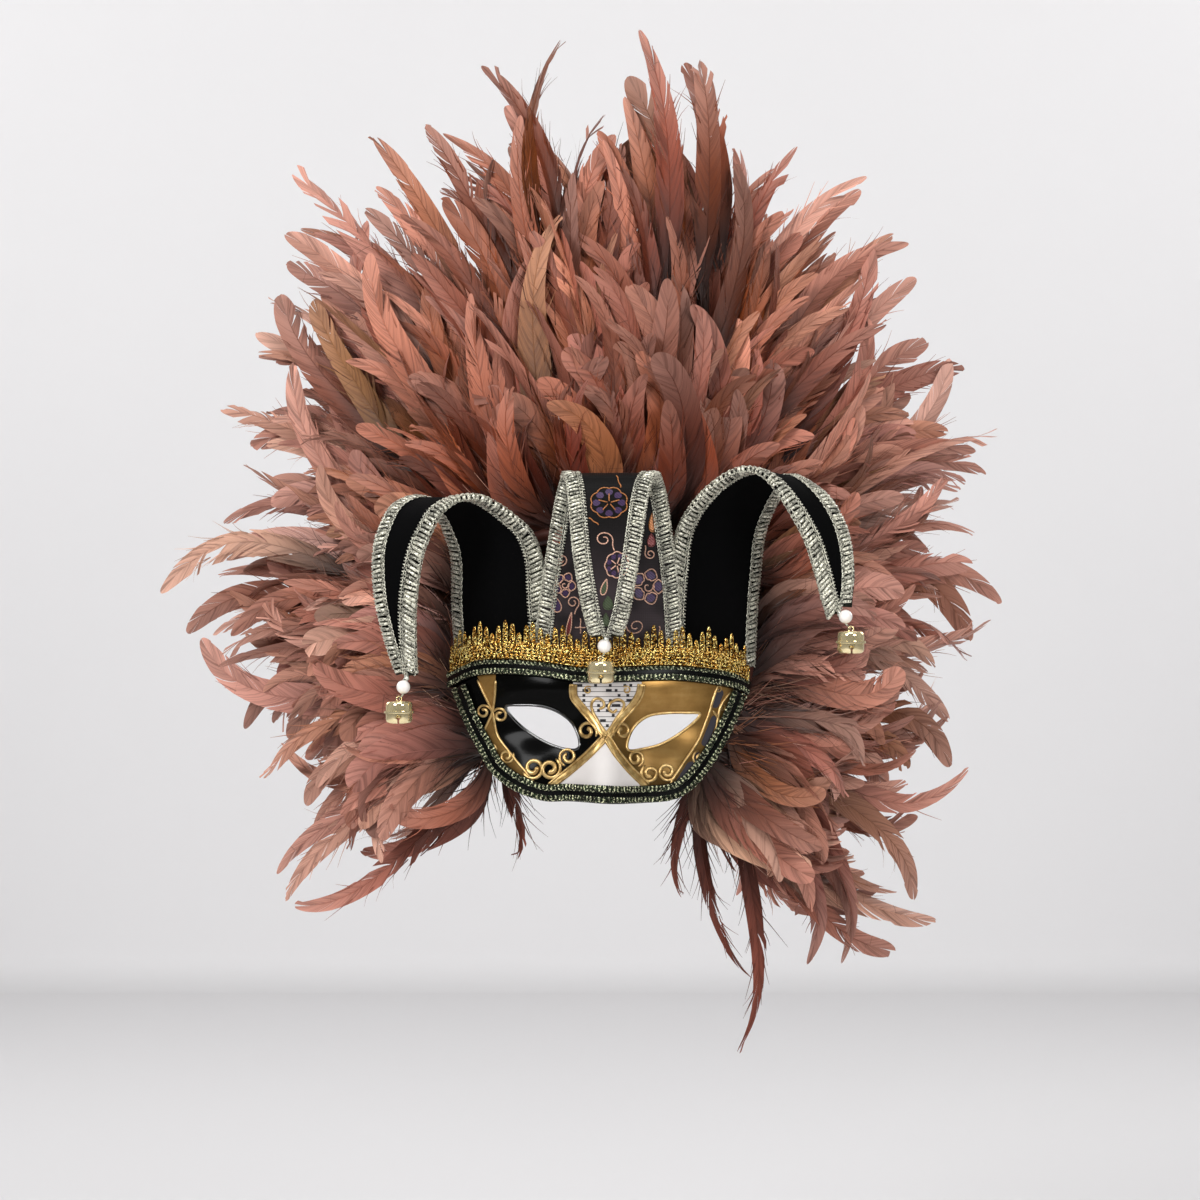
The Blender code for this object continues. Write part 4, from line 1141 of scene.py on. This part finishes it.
# Crown: three folded strips of card covered in cloth, brocade in the middle and velvet on the two horns, with
# a silver gimp braid sewn over each of their edges.
CENTRE_STRIP = (
    # left x, y, z, right x, y, z, belly
    (-38.9, 9, 37.6, 48.5, 13, 37.2, 6),
    (-35.5, 9, 66, 47, 12.5, 66, 6),
    (-32.5, 9, 88, 45, 12, 88, 6),
    (-29, 9.5, 110, 41.8, 11.5, 110, 5.5),
    (-26, 9.5, 128, 39.5, 12, 128, 5),
    (-23.5, 4.5, 139, 37, 6, 139, 4),
    (-22, -3.5, 143.5, 34.5, -3, 143.5, 3),
    (-20, -12.5, 140, 31, -12.5, 140, 2),
    (-18, -19, 127.8, 27.5, -19, 127.8, 2),
    (-15.4, -24, 98, 23, -24, 98, 2),
    (-10.4, -21.5, 68, 18, -21.5, 68, 1.5),
    (-5.6, -14, 50, 12.9, -14, 50, 0.5),
)
LEFT_STRIP = (
    # inner x, y, z, outer x, y, z, belly
    (-29.5, 12, 40, -85, 43.5, 35.5, 6),
    (-32, 12, 71, -87, 46, 68, 6),
    (-33.6, 12, 94, -87, 47.5, 85, 5),
    (-39.4, 10, 109.6, -88, 48, 98, 4),
    (-49.3, 7, 119, -91, 47, 108, 3),
    (-59, 3, 125.9, -94.5, 44, 117, 2),
    (-69.6, -1, 130.5, -100, 38, 125, 1),
    (-81, -6, 129.3, -108.5, 29.5, 130.5, 0),
    (-90, -11, 123, -119.5, 19, 127, 0.5),
    (-95, -15, 114.8, -126, 9, 117.7, 1),
    (-102, -18, 95.7, -131, 0, 99.8, 2),
    (-105.6, -18, 67.9, -130, -6, 73.7, 2),
    (-106, -16, 41.8, -124, -6, 47.6, 1),
    (-105.6, -13, 27, -117.7, -6, 28.4, 0),
)
RIGHT_STRIP = (
    # inner x, y, z, outer x, y, z, belly
    (38.5, 17, 39, 91, 47.5, 31, 6),
    (39.4, 17.5, 70.8, 92.8, 49, 67.9, 6),
    (41.8, 17, 94, 94.5, 50, 85, 5),
    (44, 14.5, 107.9, 96, 50, 101, 4),
    (48, 11, 117.7, 98, 49, 112, 3),
    (55, 6.5, 128, 101.5, 46, 121.8, 2),
    (65, 1, 138, 106, 39, 131, 1),
    (77.7, -4, 145.6, 111, 28, 138.6, 0),
    (88.7, -8, 146, 116, 22, 142, 0),
    (98.6, -12, 138.6, 124, 16, 138, 0.5),
    (108.5, -15, 123.5, 133.4, 8, 130, 1),
    (117.7, -17, 105.6, 141, 2, 117, 1.5),
    (123.5, -17, 87, 145, -6, 102.7, 1.5),
    (127.6, -16, 70.8, 146, -12, 85.8, 1),
    (131, -14, 60.3, 144.4, -13, 69, 0),
)
CLOTH_THICKNESS = 1.6 * MM
TRIM_WIDTH = 10.0 * MM
GIMP_HALF_DEPTH = 1.5 * MM
SILVER = np.array((0.79, 0.77, 0.64))
STRIP_ROWS = 120
STRIP_COLUMNS = 24
CLOTH_END = 0.985
# A near-black core: its own dark colour, deepened as painted shade between the ribs.
GIMP_CORE_SHADED = (0.008, 0.009, 0.005)
GIMP_ROWS = (
    # share of the width from the middle, shine
    (0.43, 0.9), (-0.30, 0.75), (-0.43, 1.0),
)
velvet = Finish("black_velvet", Roughness=0.95, Specular_IOR_Level=0.04, Sheen_Weight=0.018,
                Sheen_Roughness=0.4)
pile = velvet.noise(velvet.place(), 1800, 3.0, 0.7)
velvet.feed(Base_Color=velvet.mix(pile, (0.0008, 0.0008, 0.0009), (0.0022, 0.0022, 0.0024)))
velvet.relief(pile, 0.25 * MM, 0.5)
brocade = Finish("grey_black_brocade", Specular_IOR_Level=0.09, Sheen_Weight=0.012)
weave_place = brocade.place()
weave_across = (brocade.part(weave_place, "X") * 5200).wave()
weave_up = (brocade.part(weave_place, "Z") * 4200).wave()
weave = weave_across * 0.5 + weave_up * 0.5
damask = brocade.noise(weave_place, 45, 2.0, 0.5)
# Painted highlight: the damask figure is lighter towards the strip's lower part, standing for satin sheen
# where the cloth turns up to the light.
damask_painted_sheen = brocade.span(brocade.part(weave_place, "Z"), 0.125, 0.045) * brocade.span(damask, 0.15, 0.6)
brocade.feed(Base_Color=brocade.mix(damask_painted_sheen, (0.003, 0.0024, 0.0022), (0.046, 0.035, 0.038)),
             Roughness=0.36 + 0.2 * weave)
brocade.relief(weave, 0.12 * MM, 0.5)
gimp = Finish("silver_gimp", Metallic=0.45, Specular_IOR_Level=0.25)
gimp_tint = gimp.attribute("tint", "Color")
# Painted glints: bright flecks of silver with near-black between them, in the base colour.
gimp_glint = gimp.noise(gimp.place(), 1100, 1.0, 0.65)
gimp_between_glints = gimp.mix(0.88, gimp_tint, (0.01, 0.012, 0.006))
gimp.feed(Base_Color=gimp.mix(gimp.span(gimp_glint, 0.37, 0.54), gimp_between_glints, gimp_tint),
          Roughness=0.17 + 0.28 * gimp_glint)
STRIPS = (
    # CAD node, sections, way the belly faces, rib pitch, trims on the two edges, cloth, its slot
    ("crown_centre", CENTRE_STRIP, (0.0, -1.0, 0.0), 2.2 * MM, ("trim_centre_left", "trim_centre_right"),
     brocade, "brocade"),
    ("horn_left", LEFT_STRIP, (-0.6, -0.8, 0.0), 2.8 * MM, ("trim_left_inner", "trim_left_outer"),
     velvet, "velvet"),
    ("horn_right", RIGHT_STRIP, (0.6, -0.8, 0.0), 2.8 * MM, ("trim_right_inner", "trim_right_outer"),
     velvet, "velvet"),
)
strip_surfaces = {}


def strip_surface(sections, belly_way):
    """Function that gives the places on a strip at shares of its length and widths from one of its edges."""
    smooth = smooth_line(sections, 10) * MM
    spot = np.arange(len(smooth))

    def ends(share):
        where = np.clip(share, 0, 1) * (len(smooth) - 1)
        columns = [np.interp(where, spot, smooth[:, k]) for k in range(7)]
        return np.stack(columns[0:3], axis=-1), np.stack(columns[3:6], axis=-1), columns[6]

    def points(share, across):
        first, second, belly = ends(share)
        width = np.linalg.norm(second - first, axis=-1)
        part = across / width
        bulge = (belly * 4 * part * (1 - part))[..., None] * np.array(belly_way)
        return first + (second - first) * part[..., None] + bulge

    def width(share):
        first, second, _ = ends(share)
        return np.linalg.norm(second - first, axis=-1)

    def surface(share, across):
        step = 0.004
        ahead = points(np.clip(share + step, 0, 1), across) - points(np.clip(share - step, 0, 1), across)
        aside = points(share, across + 0.5 * MM) - points(share, across - 0.5 * MM)
        return points(share, across), unit(np.cross(ahead, aside))

    return surface, width


for name, sections, belly_way, pitch, trims, cloth, slot in STRIPS:
    surface, width = strip_surface(sections, belly_way)
    strip_surfaces[name] = (surface, width)
    heap = Gathered()
    rows, columns = np.linspace(0, CLOTH_END, STRIP_ROWS), np.linspace(0.012, 0.988, STRIP_COLUMNS)
    share, part = np.meshgrid(rows, columns, indexing="ij")
    middle, facing = surface(share.ravel(), part.ravel() * width(share.ravel()))
    front, back = ((middle + side * 0.5 * CLOTH_THICKNESS * facing).reshape(STRIP_ROWS, STRIP_COLUMNS, 3)
                   for side in (1, -1))
    heap.grid(np.concatenate([front, back[:, ::-1]], axis=1), closed=True)
    piece = add_piece(heap.make(name + "_cloth", cloth.material), slot, name)
    shares = np.linspace(0, CLOTH_END, 200)
    middle_line, _ = surface(shares, 0.5 * width(shares))
    cut_length = float(np.linalg.norm(np.diff(middle_line, axis=0), axis=1).sum())
    cut_width = float(width(shares).max())
    cut_area = float(width(shares).mean() * cut_length)
    for number, trim in enumerate(trims):
        def trim_place(share, across, number=number, surface=surface, width=width):
            """Places on the trim, across measured from its middle."""
            breadth = np.minimum(TRIM_WIDTH, 0.5 * width(share))
            middle = 0.5 * breadth if number == 0 else width(share) - 0.5 * breadth
            return surface(share, middle + across * breadth / TRIM_WIDTH)

        band = Band(trim_place, 0.0, 1.0)
        heap = Gathered()
        line, facing = band.at(np.linspace(0, band.length, 120), 0.0)
        heap.tube(line, facing, 0.43 * TRIM_WIDTH, 10, GIMP_CORE_SHADED, flat=0.18)
        out = 1 if number else -1
        for rib in range(int(band.length / pitch)):
            turn = 2 * np.pi * np.arange(15) / 14
            lean = rng.normal(1.2, 0.3) * MM * out
            along = (rib + 0.5) * pitch + lean * np.cos(turn) + rng.normal(0, 0.14) * MM
            reach = (out * 0.12 + rng.normal(0.34, 0.012) * np.cos(turn)) * TRIM_WIDTH
            points, facing = band.at(along, reach, GIMP_HALF_DEPTH * np.sin(turn))
            outward = unit(points - points[:-1].mean(axis=0))
            shine = rng.choice((0.55, 0.8, 1.0, 1.0))
            heap.tube(points, outward, rng.normal(0.42, 0.03) * pitch, 5, SILVER * shine)
        for side in (-1, 1):
            for edge, shine in GIMP_ROWS:
                looped_thread(heap, band, out * edge * TRIM_WIDTH, 0.5 * pitch + 0.6 * MM, 0.60 * MM,
                              0.75 * MM, side + 3 * edge, 0.38 * MM, SILVER * shine,
                              side * GIMP_HALF_DEPTH, sides=3, steps=5)
        add_piece(heap.make(trim + "_gimp", gimp.material), "silver_braid", trim)


# Brocade flowers: plain blossoms, roses, leaves, strokes and curls woven in the middle strip's brocade, in
# purple and green silk outlined in copper thread. They stand a thread's thickness off the cloth.
COPPER = np.array((0.56, 0.21, 0.06))
ROSE_COPPER = np.array((0.86, 0.50, 0.36))
PURPLE = np.array((0.040, 0.013, 0.070))
LEAF_GREEN = np.array((0.060, 0.085, 0.038))
DARK_ROSE = np.array((0.20, 0.030, 0.028))
MOTIFS = (
    # kind, on the front flap, x, z, half width, half height, degrees, outline, fill
    ("blossom", True, 5.2, 126.4, 10.8, 9, 0, COPPER, PURPLE),
    ("stroke", True, 10.6, 138.4, 1.2, 3.6, -20, COPPER, COPPER),
    ("stroke", True, -3.6, 115.6, 1.3, 3.4, -55, COPPER, COPPER),
    ("curl", True, 2.2, 105.4, 5.2, 4.4, 10, ROSE_COPPER, PURPLE),
    ("blossom", True, 9.6, 91, 6.8, 7.6, 20, ROSE_COPPER, PURPLE),
    ("leaf", True, 2.6, 78.4, 2.2, 4.6, 15, ROSE_COPPER, LEAF_GREEN),
    ("leaf", True, 4.6, 69.4, 3.4, 3.8, 0, LEAF_GREEN, LEAF_GREEN),
    ("leaf", True, 3.4, 60, 2.2, 3.6, 0, LEAF_GREEN, LEAF_GREEN),
    ("rose", False, -20.5, 79.6, 6.6, 7.4, 10, ROSE_COPPER, PURPLE),
    ("leaf", False, -25.4, 68.6, 3.4, 5, -15, ROSE_COPPER, PURPLE),
    ("curl", False, -15.6, 69.4, 3.8, 3.8, 40, ROSE_COPPER, PURPLE),
    ("leaf", False, -17.6, 56.8, 1.7, 7, 10, ROSE_COPPER, DARK_ROSE),
    ("stroke", False, -11.4, 55.6, 1, 4.4, 0, ROSE_COPPER, ROSE_COPPER),
    ("stroke", False, -11.4, 55, 1, 3, 90, ROSE_COPPER, ROSE_COPPER),
    ("leaf", False, -24, 108, 3, 5, 20, COPPER, DARK_ROSE),
    ("rose", False, 27.5, 78.6, 9.6, 10.6, 0, ROSE_COPPER, PURPLE),
    ("curl", False, 20.6, 55.6, 5.2, 4.4, 160, ROSE_COPPER, PURPLE),
    ("stroke", False, 34, 51.5, 1.2, 4.2, 4, ROSE_COPPER, PURPLE),
    ("leaf", False, 30.4, 116, 2.6, 5.6, 0, COPPER, COPPER),
    ("leaf", False, 29.6, 105.6, 2.8, 3.8, 0, DARK_ROSE, DARK_ROSE),
    ("curl", False, 29, 97.6, 3.2, 3, 200, ROSE_COPPER, PURPLE),
    ("curl", False, -22, 94, 3.6, 3.4, 130, ROSE_COPPER, PURPLE),
)
embroidery = Finish("embroidery_thread", Metallic=0.25, Roughness=0.38)
stitch_way = embroidery.place()
stitches = (embroidery.part(stitch_way, "X") * 3300 + embroidery.part(stitch_way, "Z") * 3900).wave()
thread_tint = embroidery.attribute("tint", "Color")
thread_dark = embroidery.mix(0.45, thread_tint, (0, 0, 0))
embroidery.feed(Base_Color=embroidery.mix(stitches, thread_dark, thread_tint))
embroidery.relief(stitches, 0.15 * MM, 0.6)


def motif_parts(kind):
    """Filled shapes and outlines of a motif, all within a circle of one."""
    turn = np.linspace(0, 2 * np.pi, 49)
    wave = np.cos(turn)
    sway = np.sin(turn)
    fifths = np.arange(5) * 2 * np.pi / 5
    if kind == "blossom":
        fills = [polar(0.66 + 0.20 * wave, angle + 0.30 * sway) for angle in np.arange(8) * np.pi / 4]
        rays = [np.outer(np.linspace(0.10, 0.58, 6), (math.sin(angle), math.cos(angle))) for angle in fifths]
        return fills, [polar(0.90 + 0.10 * np.abs(np.sin(4 * turn)), turn)] + rays
    if kind == "rose":
        swirl = np.linspace(0.8, 6.6, 30)
        fills = [polar(0.64 + 0.22 * wave, angle + 0.40 * sway) for angle in fifths]
        reach = 0.66 + 0.30 * wave + 0.04 * np.cos(4 * turn)
        petals = [polar(reach, angle + 0.56 * sway) for angle in fifths]
        return fills, [polar(0.052 * swirl, swirl)] + petals
    if kind == "leaf":
        blade = np.stack([sway * np.sin(0.5 * turn), wave], axis=1)
        return [blade * 0.85], [blade]
    if kind == "curl":
        swirl = np.linspace(0, 1, 40)
        tail = np.stack([1 + 0.35 * (1 - swirl[::4]) ** 2, -1.2 * (1 - swirl[::4])], axis=1)
        return [], [np.vstack([tail[:-1], polar(1 - 0.72 * swirl, 8.2 * swirl)])]
    return [], [np.stack([0.35 * np.sin(3 * sway[:25]), np.linspace(-1, 1, 25)], axis=1)]


surface, width = strip_surfaces["crown_centre"]
flowers = Gathered()
for kind, in_front, x, z, half_width, half_height, degrees, outline_colour, fill_colour in MOTIFS:
    shares = np.linspace(0.58, CLOTH_END, 160) if in_front else np.linspace(0.0, 0.50, 160)
    first, _ = surface(shares, np.zeros_like(shares))
    second, _ = surface(shares, width(shares))
    level = 0.5 * (first[:, 2] + second[:, 2])
    order = np.argsort(level)
    fills, outlines = motif_parts(kind)
    cos, sin = math.cos(math.radians(degrees)), math.sin(math.radians(degrees))
    for lines, lift, colour in ((fills, 0.95 * MM, fill_colour), (outlines, 1.0 * MM, outline_colour)):
        for line in lines:
            flat_x, flat_z = line[:, 0] * half_width, line[:, 1] * half_height
            spot_x = (x + cos * flat_x + sin * flat_z) * MM
            spot_z = (z + cos * flat_z - sin * flat_x) * MM
            share = np.interp(spot_z, level[order], shares[order])
            left = np.interp(share, shares, first[:, 0])
            right = np.interp(share, shares, second[:, 0])
            across = np.clip((spot_x - left) / (right - left), 0.03, 0.97) * width(share)
            points, facing = surface(share, across)
            facing = facing * -np.sign(facing[:, 1:2])
            points = points + facing * lift
            if lines is outlines:
                flowers.tube(points, facing, 0.36 * MM, 4, colour, flat=0.7)
            else:
                ring = len(points) - 1
                middle = points[:-1].mean(axis=0, keepdims=True)
                count = np.arange(ring)
                corners = np.stack([np.full(ring, ring), count, (count + 1) % ring], axis=1)
                normal = np.cross(points[0] - middle[0], points[ring // 4] - middle[0])
                if normal @ facing[0] <= 0:
                    corners = corners[:, ::-1]
                flowers.add(np.vstack([points[:-1], middle]), corners, colour)
add_piece(flowers.make("brocade_flowers", embroidery.material), "brocade", "crown_centre")


# Drops: a pearl bead and a jingle bell at the tip of each strip, on a thread sewn to the cloth. The bell is
# pressed from thin brass in two drums that meet in a lipped seam, with crossed slots, a ring and a pellet.
DROPS = (
    # side, pearl x, y, z, bell x, z, strip that it hangs from
    ("centre", 2.5, -13, 44.2, 0.5, 29.2, CENTRE_STRIP),
    ("left", -113.5, -10.5, 20.6, -116, 6, LEFT_STRIP),
    ("right", 141.5, -14, 61.2, 144.5, 46.4, RIGHT_STRIP),
)
PEARL_RADIUS = 4.0 * MM
BELL_RADIUS = 8.8 * MM
BELL_HEIGHT = 13.0 * MM
BELL_WALL = 0.7 * MM
BELL_PROFILE = (
    # share of the radius, share of the height
    (0.0, 0.5), (0.60, 0.5), (0.77, 0.475), (0.85, 0.41), (0.88, 0.32), (0.88, 0.07), (0.99, 0.06),
    (1.0, 0.01), (0.99, -0.04), (0.88, -0.05), (0.88, -0.30), (0.84, -0.41), (0.74, -0.48), (0.58, -0.5),
    (0.0, -0.5),
)
BELL_SLOT = np.array((
    # x, z
    (-1.7, -2.3), (0, -1.6), (1.7, -2.3), (0.55, -4.4), (0.55, -9), (-0.55, -9), (-0.55, -4.4),
)) * MM
RING_RADIUS = 1.5
pearl_finish = Finish("pearl_bead", Roughness=0.18, Coat_Weight=0.8, Coat_Roughness=0.08,
                      Specular_IOR_Level=0.6)
pearl_cloud = pearl_finish.noise(pearl_finish.place(), 300)
pearl_finish.feed(Base_Color=pearl_finish.mix(pearl_cloud, (0.80, 0.74, 0.69), (0.92, 0.89, 0.85)))
bell_finish = Finish("polished_bell", Metallic=0.80, Specular_IOR_Level=0.9)
bell_grain = bell_finish.noise(bell_finish.place(), 900, 3.0)
bell_finish.feed(Base_Color=bell_finish.mix(bell_grain, (0.90, 0.71, 0.36), (1.0, 0.90, 0.58)),
                 Roughness=0.04 + 0.06 * bell_grain)
for side, x, y, z, bell_x, bell_z, strip in DROPS:
    bm = bmesh.new()
    bmesh.ops.create_uvsphere(bm, u_segments=32, v_segments=20, radius=PEARL_RADIUS)
    bmesh.ops.translate(bm, vec=Vector((x, y, z)) * MM, verts=bm.verts)
    add_piece(new_object("pearl_bead_" + side, bm, pearl_finish.material), "pearl", "pearl_" + side)

    bm = bmesh.new()
    for thick in (0.0, BELL_WALL):
        rim = []
        for r, h in BELL_PROFILE:
            across = BELL_RADIUS * r - thick if r else 0.0
            rim.append(bm.verts.new((across, 0, BELL_HEIGHT * h - math.copysign(thick, h))))
        edges = [bm.edges.new(pair) for pair in zip(rim, rim[1:])]
        bmesh.ops.spin(bm, geom=rim + edges, cent=(0, 0, 0), axis=(0, 0, 1), angle=2 * math.pi, steps=48,
                       use_merge=True)
    bmesh.ops.remove_doubles(bm, verts=bm.verts, dist=0.01 * MM)
    bmesh.ops.recalc_face_normals(bm, faces=bm.faces)
    bell = new_object("jingle_bell_" + side, bm, bell_finish.material)
    cut_through(bell, [(BELL_SLOT, 0), (BELL_SLOT, 90)], -12 * MM, 24 * MM)
    bell.data.transform(Matrix.Translation(Vector((bell_x, y, bell_z)) * MM))
    bell.data.set_sharp_from_angle(angle=math.radians(40))
    add_piece(bell, "bell_gold", "bell_" + side)

    heap = Gathered()
    tip = 0.5 * (np.array(strip[-1][0:3]) + np.array(strip[-1][3:6]))
    line = np.array([tip, tip + (0, 0, -2), (x, y, z + 2), (x, y, z - 4), (bell_x, y, bell_z + 7.5)]) * MM
    forward = np.tile((0.0, -1.0, 0.0), (len(line), 1))
    heap.tube(line, forward, 0.45 * MM, 6, (0.6, 0.6, 0.5))
    heap.tube(line[:3], forward[:3], 1.5 * MM, 8, (0.8, 0.8, 0.7))
    add_piece(heap.make("drop_thread_" + side, gimp.material), "pearl", "pearl_" + side)
    heap = Gathered()
    turn = 2 * np.pi * np.arange(21) / 20
    top = np.array([bell_x, y, bell_z + 0.5 * BELL_HEIGHT / MM]) * MM
    hoop = np.stack([RING_RADIUS * np.cos(turn), 0 * turn, 1.2 + RING_RADIUS * np.sin(turn)], axis=1)
    ring = top + hoop * MM
    heap.tube(ring, unit(ring - ring[:-1].mean(axis=0)), 0.42 * MM, 6)
    add_piece(heap.make("bell_ring_" + side, bell_finish.material), "bell_gold", "bell_" + side)
    bm = bmesh.new()
    bmesh.ops.create_icosphere(bm, subdivisions=2, radius=2.2 * MM)
    bmesh.ops.translate(bm, vec=Vector((bell_x, y, bell_z - 1.5)) * MM, verts=bm.verts)
    add_piece(new_object("bell_pellet_" + side, bm, bell_finish.material), "bell_gold", "bell_" + side)
